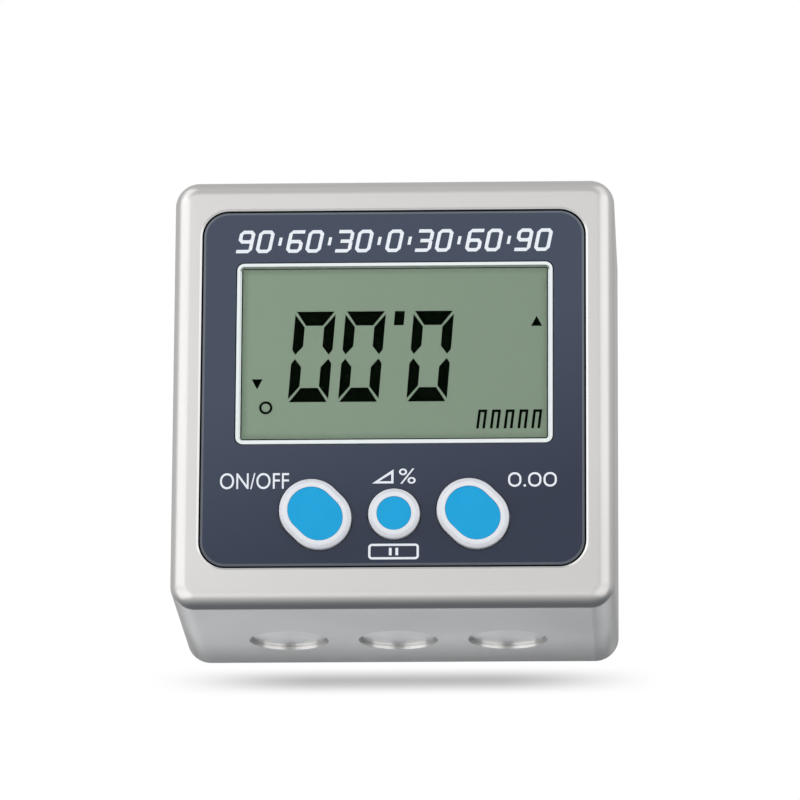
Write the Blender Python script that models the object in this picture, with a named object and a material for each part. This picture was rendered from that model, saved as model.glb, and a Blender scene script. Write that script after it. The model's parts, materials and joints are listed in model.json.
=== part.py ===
"""Digital angle gauge: a square metal box with a magnetic base, a display and three keys.

Metres, +Z up. The gauge stands on its base at Z = 0 and its display faces -Y. The origin
is under the middle of the box and its keys. Two cells lie in a tray behind the board, and
the box is as wide and as deep as they and the pieces in front of them need.
"""

import math

import bmesh
import bpy
from mathutils import Vector

MM = 0.001

# Clearances
FIT = 0.15 * MM
SLIDE = 0.15 * MM
PANEL_GAP = 0.25 * MM
COVER_GAP = 0.2 * MM
CELL_GAP = 0.2 * MM
BOARD_GAP = 0.5 * MM
TRAY_ROOM = 1.0 * MM
PARTS_ROOM = 10.2 * MM

# Battery cells and their contacts
CELL_LENGTH = 44.5 * MM
CELL_DIAMETER = 10.5 * MM
CELL_NUB_LENGTH = 1.0 * MM
CELL_NUB_DIAMETER = 3.8 * MM
CELL_EDGE = 0.6 * MM
SPRING_LENGTH = 3.65 * MM
SPRING_WIRE = 0.6 * MM
SPRING_BASE_DIAMETER = 7.0 * MM
SPRING_TIP_DIAMETER = 4.4 * MM
SPRING_TURNS = 3
CONTACT_THICKNESS = 0.4 * MM
CONTACT_SIZE = 9.0 * MM
CONTACT_TAIL_WIDTH = 2.5 * MM
CONTACT_TAIL_REACH = 1.4 * MM
LEAD_DIAMETER = 1.2 * MM

# Battery tray, door and rear cover
TRAY_END_WALL = 1.2 * MM
TRAY_WALL = 1.15 * MM
TRAY_EDGE = 3.0 * MM
TRAY_RIDGE_ANGLE = math.radians(50)
DOOR_THICKNESS = 1.5 * MM
DOOR_LAP = 0.9 * MM
DOOR_RIB = 0.35 * MM
DOOR_RIB_WIDTH = 1.6 * MM
DOOR_TAB_WIDTH = 5.0 * MM
DOOR_TAB_REACH = 0.9 * MM
DOOR_TAB_THICKNESS = 0.75 * MM
DOOR_TAB_SPREAD = 32.0 * MM
DOOR_TAB_EASE = 0.1 * MM
LATCH_WIDTH = 9.0 * MM
GRIP_WIDTH = 14.0 * MM
GRIP_MARGIN = 2.2 * MM
GRIP_GROOVE = 0.6 * MM
GRIP_DEPTH = 0.35 * MM
GRIP_PITCH = 1.5 * MM
GRIP_GROOVES = 4
SCOOP_RADIUS = 5.0 * MM
SCOOP_DEPTH = 1.0 * MM
COVER_THICKNESS = 2.0 * MM
COVER_SINK = 0.2 * MM
COVER_CHAMFER = 0.25 * MM

# Metal housing
SIDE_WALL = 2.5 * MM
TOP_WALL = 2.5 * MM
BASE_WALL = 4.5 * MM
LEDGE_WIDTH = 1.0 * MM
LEDGE_THICKNESS = 1.45 * MM
CORNER_RADIUS = 3.2 * MM
FRONT_ROUNDING = 2.2 * MM
BACK_CHAMFER = 0.3 * MM
POCKET_CHAMFER = 0.12 * MM
INNER_RADIUS = 1.5 * MM
COVER_BOSS_RADIUS = 3.0 * MM
BOARD_BOSS_RADIUS = 2.4 * MM
BOSS_SINK = 0.4 * MM
BOARD_BOSS_INSET = 9.0 * MM

# Screws
SCREW_HEAD_RADIUS = 1.8 * MM
SCREW_HEAD_HEIGHT = 1.2 * MM
SCREW_RADIUS = 1.0 * MM
COVER_SCREW_LENGTH = 6.5 * MM
BOARD_SCREW_LENGTH = 4.2 * MM
SCREW_RECESS_WIDTH = 0.5 * MM
SCREW_RECESS_LENGTH = 2.0 * MM
SCREW_RECESS_DEPTH = 0.6 * MM

# Magnets in the base
MAGNET_DIAMETER = 10.0 * MM
MAGNET_THICKNESS = 3.0 * MM
MAGNET_GAP = 0.25 * MM
MAGNET_RECESS = 0.5 * MM
MAGNET_PITCH = 14.5 * MM
MAGNET_FROM_FRONT = 19.5 * MM
MAGNET_EDGE = 0.2 * MM

# Front panel
BEZEL_SIDE = 3.95 * MM
BEZEL_TOP = 4.6 * MM
BEZEL_BOTTOM = 5.35 * MM
PANEL_THICKNESS = 1.5 * MM
PANEL_RADIUS = 3.3 * MM
PANEL_SINK = 0.1 * MM
PANEL_CHAMFER = 0.15 * MM
WINDOW_SHIFT = 0.15 * MM

# Display
WINDOW_HEIGHT = 24.6 * MM
WINDOW_MARGIN = 4.3 * MM
WINDOW_TOP_BAND = 7.0 * MM
WINDOW_RADIUS = 0.95 * MM
RIM_WIDTH = 0.6 * MM
RIM_SEAT = 0.4 * MM
LENS_THICKNESS = 0.2 * MM
FILM_THICKNESS = 0.1 * MM
GLASS_THICKNESS = 1.1 * MM
GLASS_LEDGE = 2.6 * MM
HOLDER_FLANGE = 1.4 * MM
HOLDER_WALL = 0.8 * MM
STRIP_HEIGHT = 2.0 * MM

# Readout: slanted digits of six lit bars each, and a point between the last two
DIGIT_HEIGHT = 12.35 * MM
DIGIT_WIDTH = 5.3 * MM
DIGIT_PITCH = 6.6 * MM
DIGIT_SLANT = 0.077
POINT_ROOM = 2.35 * MM
READOUT_MARGIN = 9.9 * MM
READOUT_Z = -0.4 * MM
LEVEL_BAR = 1.95 * MM
UPRIGHT_BAR = 1.38 * MM
BAR_GAP = 0.15 * MM
UPRIGHT_TOP = 0.4 * MM
UPRIGHT_MITRE = 1.75 * MM
TIP_FROM_MIDDLE = 0.28 * MM
TIP_FROM_SIDE = 0.46 * MM
OUTER_SHOULDER = 0.66 * MM
INNER_SHOULDER = 1.13 * MM
POINT_WIDTH = 1.3 * MM
MARK_WIDTH = 1.45 * MM
MARK_HEIGHT = 1.4 * MM
UP_MARK_MARGIN = 2.1 * MM
UP_MARK_Z = 4.3 * MM
DOWN_MARK_MARGIN = 2.75 * MM
DOWN_MARK_Z = -4.1 * MM

# Keys
KEY_SHIFT = 0.25 * MM
KEY_RADIUS = 4.25 * MM
KEY_DRAW = 1.1 * MM
KEY_TILT = math.radians(135)
ROUND_KEY_RADIUS = 3.38 * MM
KEY_SPACING = 0.7 * MM
KEY_MARGIN = 0.35 * MM
KEY_TO_HOLDER = 2.7 * MM
KEY_RIM = 0.7 * MM
KEY_FLANGE = 0.65 * MM
KEY_PROUD = 0.7 * MM
KEY_TRAVEL = 0.4 * MM
KEY_ROUNDING = 0.85 * MM
KEY_ROUNDING_DEPTH = 0.35 * MM
KEY_LIP = 0.23 * MM
INLAY_THICKNESS = 0.5 * MM
INLAY_GAP = 0.06 * MM
INLAY_SINK = 0.05 * MM

# Switches and board
SWITCH_SIZE = 6.0 * MM
SWITCH_HEIGHT = 3.5 * MM
SWITCH_CHAMFER = 0.2 * MM
PLUNGER_RADIUS = 1.75 * MM
PLUNGER_RISE = 0.8 * MM
PLUNGER_DEPTH = 0.8 * MM
BOARD_THICKNESS = 1.2 * MM
CHIP_SIZE = 10.0 * MM
CHIP_HEIGHT = 1.4 * MM
SENSOR_SIZE = 5.0 * MM
SENSOR_HEIGHT = 1.6 * MM
SENSOR_X = 13.0 * MM

# Smoothness
SMOOTH_ANGLE = math.radians(35)
CORNER_STEPS = 6
ROUNDING_STEPS = 4
SHOULDER_STEPS = 3
KEY_STEPS = 10
SCREW_STEPS = 12
CELL_STEPS = 20
MAGNET_STEPS = 36
SPRING_STEPS = 9
LEAD_STEPS = 10

# Overall box, worked out from what it holds
TRAY_HALF_LENGTH = (CELL_LENGTH + SPRING_LENGTH + 3 * FIT) / 2
CAVITY_WIDTH = 2 * (TRAY_HALF_LENGTH + TRAY_END_WALL + TRAY_ROOM)
BODY_WIDTH = CAVITY_WIDTH + 2 * SIDE_WALL
KEY_STRETCH = math.hypot(KEY_DRAW, KEY_DRAW)
KEY_HALF = KEY_RADIUS + KEY_DRAW / 2
KEY_ROW = LEDGE_WIDTH + KEY_MARGIN + KEY_RIM + KEY_HALF
KEY_TO_WINDOW = KEY_HALF + KEY_RIM + KEY_TO_HOLDER + HOLDER_FLANGE
PANEL_HEIGHT = KEY_ROW + KEY_TO_WINDOW + WINDOW_HEIGHT + WINDOW_TOP_BAND
PANEL_WIDTH = BODY_WIDTH - 2 * BEZEL_SIDE
BODY_HEIGHT = BEZEL_BOTTOM + PANEL_HEIGHT + BEZEL_TOP
CAVITY_HEIGHT = BODY_HEIGHT - BASE_WALL - TOP_WALL

# Levels along Y, counted from the front
PANEL_BACK_DEPTH = PANEL_SINK + PANEL_THICKNESS
SWITCH_FRONT_DEPTH = PANEL_BACK_DEPTH + SLIDE + KEY_FLANGE + FIT + PLUNGER_RISE
BOARD_DEPTH = SWITCH_FRONT_DEPTH + SWITCH_HEIGHT + FIT
TRAY_DEPTH = BOARD_DEPTH + BOARD_THICKNESS + PARTS_ROOM
CELL_DEPTH = TRAY_DEPTH + TRAY_WALL + CELL_GAP + CELL_DIAMETER / 2
DOOR_DEPTH = CELL_DEPTH + CELL_DIAMETER / 2 + CELL_GAP + DOOR_RIB
COVER_DEPTH = DOOR_DEPTH + DOOR_THICKNESS
BODY_DEPTH = COVER_DEPTH + COVER_SINK

KEY_REACH = KEY_PROUD - PANEL_SINK
FRONT_Y = (KEY_REACH - BODY_DEPTH) / 2
BACK_Y = FRONT_Y + BODY_DEPTH
PANEL_FRONT = FRONT_Y + PANEL_SINK
PANEL_BACK = FRONT_Y + PANEL_BACK_DEPTH
LEDGE_FRONT = PANEL_BACK + FIT
WALL_BACK = LEDGE_FRONT + LEDGE_THICKNESS
SWITCH_FRONT = FRONT_Y + SWITCH_FRONT_DEPTH
BOARD_FRONT = FRONT_Y + BOARD_DEPTH
BOARD_BACK = BOARD_FRONT + BOARD_THICKNESS
TRAY_BOTTOM = FRONT_Y + TRAY_DEPTH
CELL_Y = FRONT_Y + CELL_DEPTH
DOOR_FRONT = FRONT_Y + DOOR_DEPTH
COVER_BACK = FRONT_Y + COVER_DEPTH
COVER_FRONT = COVER_BACK - COVER_THICKNESS

# Places in X and Z
CAVITY_Z = BASE_WALL + CAVITY_HEIGHT / 2
PANEL_Z = BEZEL_BOTTOM + PANEL_HEIGHT / 2
KEY_Z = BEZEL_BOTTOM + KEY_ROW
KEY_PITCH = KEY_HALF + ROUND_KEY_RADIUS + 2 * KEY_RIM + KEY_SPACING
WINDOW_WIDTH = PANEL_WIDTH - 2 * WINDOW_MARGIN
WINDOW_Z = KEY_Z + KEY_TO_WINDOW + WINDOW_HEIGHT / 2
WINDOW = (WINDOW_SHIFT, WINDOW_Z)
CELL_RISE = CELL_DIAMETER / 2 + CELL_GAP / 2
TRAY_HALF_HEIGHT = CELL_RISE + CELL_DIAMETER / 2 + CELL_GAP
COVER_BOSS_X = CAVITY_WIDTH / 2 - COVER_BOSS_RADIUS + BOSS_SINK
COVER_BOSS_RISE = CAVITY_HEIGHT / 2 - COVER_BOSS_RADIUS + BOSS_SINK
BOARD_BOSS_X = CAVITY_WIDTH / 2 - BOARD_BOSS_INSET
BOARD_BOSS_RISE = CAVITY_HEIGHT / 2 - BOARD_BOSS_RADIUS + BOSS_SINK
MAGNET_Y = FRONT_Y + MAGNET_FROM_FRONT
PIERCE = 1.0 * MM


# Outlines: lists of points in the two axes across the one that a shape runs along

def arc(centre, radius, start, sweep, steps):
    angles = [start + sweep * step / steps for step in range(steps + 1)]
    return [(centre[0] + radius * math.cos(a), centre[1] + radius * math.sin(a)) for a in angles]


def circle(radius, steps, centre=(0, 0)):
    return arc(centre, radius, 0, math.tau, steps)[:-1]


def rounded_rectangle(width, height, radius, centre=(0, 0), grow=0.0, steps=CORNER_STEPS):
    """A rectangle with round corners, grown outwards by grow on every side."""
    reach_a = width / 2 - radius
    reach_b = height / 2 - radius
    points = []
    for quarter, (a, b) in enumerate(((1, 1), (-1, 1), (-1, -1), (1, -1))):
        corner = (centre[0] + a * reach_a, centre[1] + b * reach_b)
        points += arc(corner, radius + grow, quarter * math.pi / 2, math.pi / 2, steps)
    return points


def rectangle(width, height, centre=(0, 0)):
    signs = ((1, 1), (-1, 1), (-1, -1), (1, -1))
    return [(centre[0] + a * width / 2, centre[1] + b * height / 2) for a, b in signs]


def key_outline(radius, stretch, grow=0.0, centre=(0, 0)):
    """A circle, or two half circles drawn apart along the key's tilted length."""
    if not stretch:
        return circle(radius + grow, 2 * KEY_STEPS, centre)
    points = []
    for turn in (0, math.pi):
        middle = (centre[0] + stretch / 2 * math.cos(KEY_TILT + turn),
                  centre[1] + stretch / 2 * math.sin(KEY_TILT + turn))
        start = KEY_TILT + turn - math.pi / 2
        points += arc(middle, radius + grow, start, math.pi, KEY_STEPS)
    return points


# Materials

def material(name, colour, roughness, metallic=0.0, alpha=1.0):
    made = bpy.data.materials.get(name)
    if made:
        return made
    made = bpy.data.materials.new(name)
    made.use_nodes = True
    shader = made.node_tree.nodes["Principled BSDF"]
    shader.inputs["Base Color"].default_value = (*colour, 1.0)
    shader.inputs["Roughness"].default_value = roughness
    shader.inputs["Metallic"].default_value = metallic
    shader.inputs["Alpha"].default_value = alpha
    made.diffuse_color = (*colour, alpha)
    return made


def satin_metal():
    return material("satin_metal", (0.70, 0.69, 0.68), 0.38, 1.0)


def panel_plastic():
    return material("panel_plastic", (0.065, 0.08, 0.115), 0.35)


def white_plastic():
    return material("white_plastic", (0.85, 0.87, 0.88), 0.35)


def clear_lens():
    return material("clear_lens", (0.9, 0.95, 0.93), 0.05, alpha=0.2)


def display_film():
    return material("display_film", (0.23, 0.32, 0.23), 0.45)


def display_glass():
    return material("display_glass", (0.01, 0.015, 0.01), 0.3)


def key_plastic():
    return material("key_plastic", (0.75, 0.77, 0.82), 0.3)


def blue_plastic():
    return material("blue_plastic", (0.02, 0.35, 0.76), 0.4)


def magnet_plating():
    return material("magnet_plating", (0.72, 0.72, 0.70), 0.15, 1.0)


def cover_plastic():
    return material("cover_plastic", (0.05, 0.055, 0.065), 0.55)


def black_plastic():
    return material("black_plastic", (0.03, 0.03, 0.03), 0.5)


def screw_steel():
    return material("screw_steel", (0.55, 0.55, 0.55), 0.3, 1.0)


def contact_steel():
    return material("contact_steel", (0.75, 0.73, 0.66), 0.25, 1.0)


def board_laminate():
    return material("board_laminate", (0.02, 0.16, 0.07), 0.45)


def strip_rubber():
    return material("strip_rubber", (0.35, 0.33, 0.30), 0.8)


def cell_jacket():
    return material("cell_jacket", (0.10, 0.12, 0.14), 0.3, 0.6)


def red_insulation():
    return material("red_insulation", (0.55, 0.03, 0.02), 0.4)


def black_insulation():
    return material("black_insulation", (0.02, 0.02, 0.02), 0.4)


# Solids

AXES = {
    "X": lambda a, b, level: (level, a, b),
    "Y": lambda a, b, level: (a, level, b),
    "Z": lambda a, b, level: (a, b, level),
}


def add_object(name, data, finish=None, place=(0, 0, 0), parent=None):
    made = bpy.data.objects.new(name, data)
    bpy.context.scene.collection.objects.link(made)
    made.location = place
    made.parent = parent
    if finish and not data.materials:
        data.materials.append(finish)
    return made


def mesh_from(bm, name):
    bmesh.ops.recalc_face_normals(bm, faces=bm.faces)
    mesh = bpy.data.meshes.new(name)
    bm.to_mesh(mesh)
    bm.free()
    mesh.shade_smooth()
    mesh.set_sharp_from_angle(angle=SMOOTH_ANGLE)
    return mesh


def loft(name, rings, finish=None, axis="Y", closed=False, place=(0, 0, 0), parent=None):
    """A solid through rings of (outline, level). A closed one runs from the last to the first."""
    bm = bmesh.new()
    loops = []
    for outline, level in rings:
        loops.append([bm.verts.new(AXES[axis](a, b, level)) for a, b in outline])
    pairs = list(zip(loops, loops[1:]))
    if closed:
        pairs.append((loops[-1], loops[0]))
    for first, second in pairs:
        for index in range(len(first)):
            before = index - 1
            bm.faces.new((first[before], first[index], second[index], second[before]))
    if not closed:
        bm.faces.new(loops[0])
        bm.faces.new(reversed(loops[-1]))
    return add_object(name, mesh_from(bm, name), finish, place, parent)


def pierced_plate(name, outline, holes, front, back, finish):
    """A flat plate across Y with holes of any outline."""
    bm = bmesh.new()
    edges = []
    for loop in [outline, *holes]:
        points = [bm.verts.new((x, front, z)) for x, z in loop]
        edges += [bm.edges.new((points[i - 1], points[i])) for i in range(len(points))]
    bmesh.ops.triangle_fill(bm, use_beauty=True, edges=edges, normal=(0, -1, 0))
    made = bmesh.ops.extrude_face_region(bm, geom=bm.faces[:])
    moved = [item for item in made["geom"] if isinstance(item, bmesh.types.BMVert)]
    bmesh.ops.translate(bm, verts=moved, vec=(0, back - front, 0))
    return add_object(name, mesh_from(bm, name), finish)


def block(name, low, high, finish=None, place=(0, 0, 0), parent=None):
    """A rectangular block between two corners."""
    centre = ((low[0] + high[0]) / 2, (low[2] + high[2]) / 2)
    outline = rectangle(high[0] - low[0], high[2] - low[2], centre)
    rings = [(outline, low[1]), (outline, high[1])]
    return loft(name, rings, finish, place=place, parent=parent)


def tube(name, points, diameter, finish, sides=1, place=(0, 0, 0)):
    """A round wire along a list of points."""
    curve = bpy.data.curves.new(name, "CURVE")
    curve.dimensions = "3D"
    curve.bevel_depth = diameter / 2
    curve.bevel_resolution = sides
    curve.use_fill_caps = True
    spline = curve.splines.new("POLY")
    spline.points.add(len(points) - 1)
    for point, target in zip(spline.points, points):
        point.co = (*target, 1.0)
    return add_object(name, curve, finish, place)


def boolean(target, tool, operation="DIFFERENCE"):
    """Cuts the tool from the target, or joins it to the target. The tool stays as a guide."""
    modifier = target.modifiers.new(tool.name, "BOOLEAN")
    modifier.operation = operation
    modifier.solver = "EXACT"
    modifier.object = tool
    tool.hide_render = True
    tool.display_type = "WIRE"


def realised(target):
    """The target's mesh with its modifiers in it, and the target and its tools removed."""
    graph = bpy.context.evaluated_depsgraph_get()
    mesh = bpy.data.meshes.new_from_object(target.evaluated_get(graph))
    tools = [modifier.object for modifier in target.modifiers]
    for used in [*tools, target]:
        bpy.data.objects.remove(used)
    return mesh


# Metal housing

def mirrored_places(x, rise):
    """The four places at this distance from the cavity's middle, named by side."""
    for row, up in (("lower", -1), ("upper", 1)):
        for side, right in (("left", -1), ("right", 1)):
            yield f"{row}_{side}", right * x, CAVITY_Z + up * rise


def housing_shell():
    """The outer block: front edges rounded, back edges with a small chamfer."""
    middle = (0, BODY_HEIGHT / 2)

    def ring(inset, y):
        outline = rounded_rectangle(BODY_WIDTH, BODY_HEIGHT, CORNER_RADIUS, middle, -inset)
        return outline, y

    rings = []
    for step in range(ROUNDING_STEPS + 1):
        angle = math.pi / 2 * step / ROUNDING_STEPS
        inset = FRONT_ROUNDING * (1 - math.sin(angle))
        rings.append(ring(inset, FRONT_Y + FRONT_ROUNDING * (1 - math.cos(angle))))
    rings.append(ring(0, BACK_Y - BACK_CHAMFER))
    rings.append(ring(BACK_CHAMFER, BACK_Y))
    return loft("housing", rings, satin_metal())


def panel_outline(grow=0.0):
    return rounded_rectangle(PANEL_WIDTH, PANEL_HEIGHT, PANEL_RADIUS, (0, PANEL_Z), grow)


def cavity_outline(grow=0.0):
    return rounded_rectangle(CAVITY_WIDTH, CAVITY_HEIGHT, INNER_RADIUS, (0, CAVITY_Z), grow)


def build_housing():
    housing = housing_shell()
    cavity = loft("cavity_cut", [
        (cavity_outline(), WALL_BACK),
        (cavity_outline(), BACK_Y - BACK_CHAMFER),
        (cavity_outline(BACK_CHAMFER), BACK_Y),
        (cavity_outline(BACK_CHAMFER), BACK_Y + PIERCE)])
    boolean(housing, cavity)
    pocket = loft("pocket_cut", [
        (panel_outline(PANEL_GAP + POCKET_CHAMFER), FRONT_Y - PIERCE),
        (panel_outline(PANEL_GAP + POCKET_CHAMFER), FRONT_Y),
        (panel_outline(PANEL_GAP), FRONT_Y + POCKET_CHAMFER),
        (panel_outline(PANEL_GAP), LEDGE_FRONT)])
    boolean(housing, pocket)
    opening = loft("opening_cut", [
        (panel_outline(-LEDGE_WIDTH), PANEL_FRONT),
        (panel_outline(-LEDGE_WIDTH), WALL_BACK + PIERCE)])
    boolean(housing, opening)

    bosses = (
        ("cover", COVER_BOSS_RADIUS, COVER_BOSS_X, COVER_BOSS_RISE, COVER_FRONT - FIT,
         COVER_SCREW_LENGTH),
        ("board", BOARD_BOSS_RADIUS, BOARD_BOSS_X, BOARD_BOSS_RISE, BOARD_FRONT - FIT,
         BOARD_SCREW_LENGTH - BOARD_THICKNESS))
    root = WALL_BACK - LEDGE_THICKNESS / 2
    for kind, radius, across, rise, end, depth in bosses:
        for place, x, z in mirrored_places(across, rise):
            post = circle(radius, CELL_STEPS)
            boss = loft(f"{kind}_boss_{place}", [(post, root), (post, end)], place=(x, 0, z))
            boolean(housing, boss, "UNION")
            bore = circle(SCREW_RADIUS + FIT, SCREW_STEPS)
            pilot = loft(f"{kind}_pilot_{place}", [(bore, end - depth), (bore, end + PIERCE)],
                         place=(x, 0, z))
            boolean(housing, pilot)

    hole = circle(MAGNET_DIAMETER / 2 + MAGNET_GAP, MAGNET_STEPS)
    depth = MAGNET_RECESS + MAGNET_THICKNESS + FIT
    for side, x in magnet_places():
        pocket = loft(f"magnet_cut_{side}", [(hole, -PIERCE), (hole, depth)], axis="Z",
                      place=(x, MAGNET_Y, 0))
        boolean(housing, pocket)


def magnet_places():
    return ("left", -MAGNET_PITCH), ("middle", 0.0), ("right", MAGNET_PITCH)


def build_magnets():
    full = circle(MAGNET_DIAMETER / 2, MAGNET_STEPS)
    eased = circle(MAGNET_DIAMETER / 2 - MAGNET_EDGE, MAGNET_STEPS)
    rings = [
        (eased, 0), (full, MAGNET_EDGE),
        (full, MAGNET_THICKNESS - MAGNET_EDGE), (eased, MAGNET_THICKNESS)]
    for side, x in magnet_places():
        loft(f"base_magnet_{side}", rings, magnet_plating(), axis="Z",
             place=(x, MAGNET_Y, MAGNET_RECESS))


# Front panel and display

def window_outline(grow=0.0):
    return rounded_rectangle(WINDOW_WIDTH, WINDOW_HEIGHT, WINDOW_RADIUS, WINDOW, grow)


def build_panel():
    panel = loft("front_panel", [
        (panel_outline(-PANEL_CHAMFER), PANEL_FRONT),
        (panel_outline(), PANEL_FRONT + PANEL_CHAMFER),
        (panel_outline(), PANEL_BACK)], panel_plastic())
    ends = PANEL_FRONT - PIERCE, PANEL_BACK + PIERCE
    window = window_outline(FIT)
    boolean(panel, loft("window_cut", [(window, ends[0]), (window, ends[1])]))
    for name, x, radius, stretch in KEYS:
        hole = key_outline(radius, stretch, SLIDE)
        cut = loft(f"{name}_key_cut", [(hole, ends[0]), (hole, ends[1])], place=(x, 0, KEY_Z))
        boolean(panel, cut)


def build_holder():
    """White moulding that holds the display: its rim shows round the window."""
    seat = PANEL_FRONT + LENS_THICKNESS + FIT
    flange = PANEL_BACK + FIT
    end = BOARD_FRONT - FIT
    step = PANEL_FRONT + LENS_THICKNESS + FILM_THICKNESS + 3 * FIT + 2 * GLASS_THICKNESS
    loft("display_holder", [
        (window_outline(), PANEL_FRONT),
        (window_outline(), flange),
        (window_outline(HOLDER_FLANGE), flange),
        (window_outline(HOLDER_FLANGE), end),
        (window_outline(HOLDER_FLANGE - HOLDER_WALL), end),
        (window_outline(HOLDER_FLANGE - HOLDER_WALL), step),
        (window_outline(-RIM_WIDTH), step),
        (window_outline(-RIM_WIDTH), seat),
        (window_outline(-RIM_SEAT), seat),
        (window_outline(-RIM_SEAT), PANEL_FRONT)], white_plastic(), closed=True)


def display_outline():
    return window_outline(-RIM_WIDTH - FIT)


def build_display():
    lens = window_outline(-RIM_SEAT - FIT / 2)
    lens_back = PANEL_FRONT + LENS_THICKNESS
    loft("display_window", [(lens, PANEL_FRONT), (lens, lens_back)], clear_lens())
    film_front = lens_back + FIT
    film_back = film_front + FILM_THICKNESS
    pierced_plate("display_face", display_outline(), readout_marks(), film_front, film_back,
                  display_film())
    front = film_back + FIT
    middle = front + GLASS_THICKNESS
    back = middle + GLASS_THICKNESS
    width = WINDOW_WIDTH - 2 * (RIM_WIDTH + FIT)
    height = WINDOW_HEIGHT - 2 * (RIM_WIDTH + FIT)
    radius = WINDOW_RADIUS - RIM_WIDTH - FIT
    short = rounded_rectangle(width, height - GLASS_LEDGE, radius,
                              (WINDOW[0], WINDOW_Z - GLASS_LEDGE / 2))
    loft("display_glass", [
        (display_outline(), front), (display_outline(), middle),
        (short, middle), (short, back)], display_glass())
    top = WINDOW_Z + height / 2
    strip_z = top - GLASS_LEDGE / 2
    block("contact_strip",
          (WINDOW[0] - width / 2 + GLASS_LEDGE, middle + FIT, strip_z - STRIP_HEIGHT / 2),
          (WINDOW[0] + width / 2 - GLASS_LEDGE, BOARD_FRONT - FIT, strip_z + STRIP_HEIGHT / 2),
          strip_rubber())


def slanted(points, centre):
    """Points of a digit, leant over and moved to the digit's centre."""
    return [(centre[0] + x + DIGIT_SLANT * z, centre[1] + z) for x, z in points]


def digit_bars():
    """The six lit bars of a nought: two level ones and four uprights with mitred ends."""
    side = DIGIT_WIDTH / 2
    top = DIGIT_HEIGHT / 2
    mitre = UPRIGHT_BAR + BAR_GAP
    level = [
        (-side + BAR_GAP, top), (side - BAR_GAP, top),
        (side - mitre, top - LEVEL_BAR), (-side + mitre, top - LEVEL_BAR)]
    upright = [
        (-side, top - UPRIGHT_TOP),
        (-side + UPRIGHT_BAR, top - UPRIGHT_TOP - UPRIGHT_MITRE),
        (-side + UPRIGHT_BAR, TIP_FROM_MIDDLE + INNER_SHOULDER),
        (-side + TIP_FROM_SIDE, TIP_FROM_MIDDLE),
        (-side, TIP_FROM_MIDDLE + OUTER_SHOULDER)]
    bars = [level, [(x, -z) for x, z in level]]
    for flip_x in (1, -1):
        for flip_z in (1, -1):
            bars.append([(flip_x * x, flip_z * z) for x, z in upright])
    return bars


def triangle_mark(centre, up):
    return [
        (centre[0] - MARK_WIDTH / 2, centre[1] - up * MARK_HEIGHT / 2),
        (centre[0] + MARK_WIDTH / 2, centre[1] - up * MARK_HEIGHT / 2),
        (centre[0], centre[1] + up * MARK_HEIGHT / 2)]


def readout_marks():
    """Openings in the display's film, through which the dark glass shows as lit marks."""
    left = WINDOW[0] - WINDOW_WIDTH / 2
    right = WINDOW[0] + WINDOW_WIDTH / 2
    row = WINDOW_Z + READOUT_Z
    first = left + READOUT_MARGIN
    places = [first, first + DIGIT_PITCH, first + 2 * DIGIT_PITCH + POINT_ROOM]
    marks = []
    for x in places:
        marks += [slanted(bar, (x, row)) for bar in digit_bars()]
    point = rectangle(POINT_WIDTH, LEVEL_BAR, (0, DIGIT_HEIGHT / 2 - LEVEL_BAR / 2))
    marks.append(slanted(point, ((places[1] + places[2]) / 2, row)))
    marks.append(triangle_mark((right - UP_MARK_MARGIN, WINDOW_Z + UP_MARK_Z), 1))
    marks.append(triangle_mark((left + DOWN_MARK_MARGIN, WINDOW_Z + DOWN_MARK_Z), -1))
    return marks


# Keys, each pressed along +Y onto a switch on the board

KEYS = (
    ("power", KEY_SHIFT - KEY_PITCH, KEY_RADIUS, KEY_STRETCH),
    ("hold", KEY_SHIFT, ROUND_KEY_RADIUS, 0.0),
    ("zero", KEY_SHIFT + KEY_PITCH, KEY_RADIUS, KEY_STRETCH))


def build_key(name, x, radius, stretch):
    """A cap with a rounded shoulder and a flange behind the panel, and its blue inlay."""
    axis = add_object(f"{name}_key_axis", None, place=(x, PANEL_FRONT, KEY_Z))
    top = -KEY_PROUD
    pocket = KEY_ROUNDING + KEY_LIP
    floor = top + INLAY_SINK + INLAY_THICKNESS + INLAY_GAP
    flange = PANEL_THICKNESS + SLIDE

    def ring(inset, y):
        return key_outline(radius, stretch, -inset), y

    rings = [ring(pocket, floor), ring(pocket, top)]
    for step in range(SHOULDER_STEPS + 1):
        angle = math.pi / 2 * step / SHOULDER_STEPS
        inset = KEY_ROUNDING * (1 - math.sin(angle))
        rings.append(ring(inset, top + KEY_ROUNDING_DEPTH * (1 - math.cos(angle))))
    rings += [ring(0, flange), ring(-KEY_RIM, flange), ring(-KEY_RIM, flange + KEY_FLANGE)]
    loft(f"{name}_key", rings, key_plastic(), parent=axis)

    inlay = key_outline(radius, stretch, -pocket - INLAY_GAP)
    loft(f"{name}_key_inlay", [
        (inlay, top + INLAY_SINK),
        (inlay, top + INLAY_SINK + INLAY_THICKNESS)], blue_plastic(), parent=axis)

    stem = circle(PLUNGER_RADIUS, SCREW_STEPS)
    front = flange + KEY_FLANGE + FIT
    loft(f"{name}_switch_plunger", [
        (stem, front), (stem, front + PLUNGER_RISE + PLUNGER_DEPTH)], black_plastic(),
        parent=axis)


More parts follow.
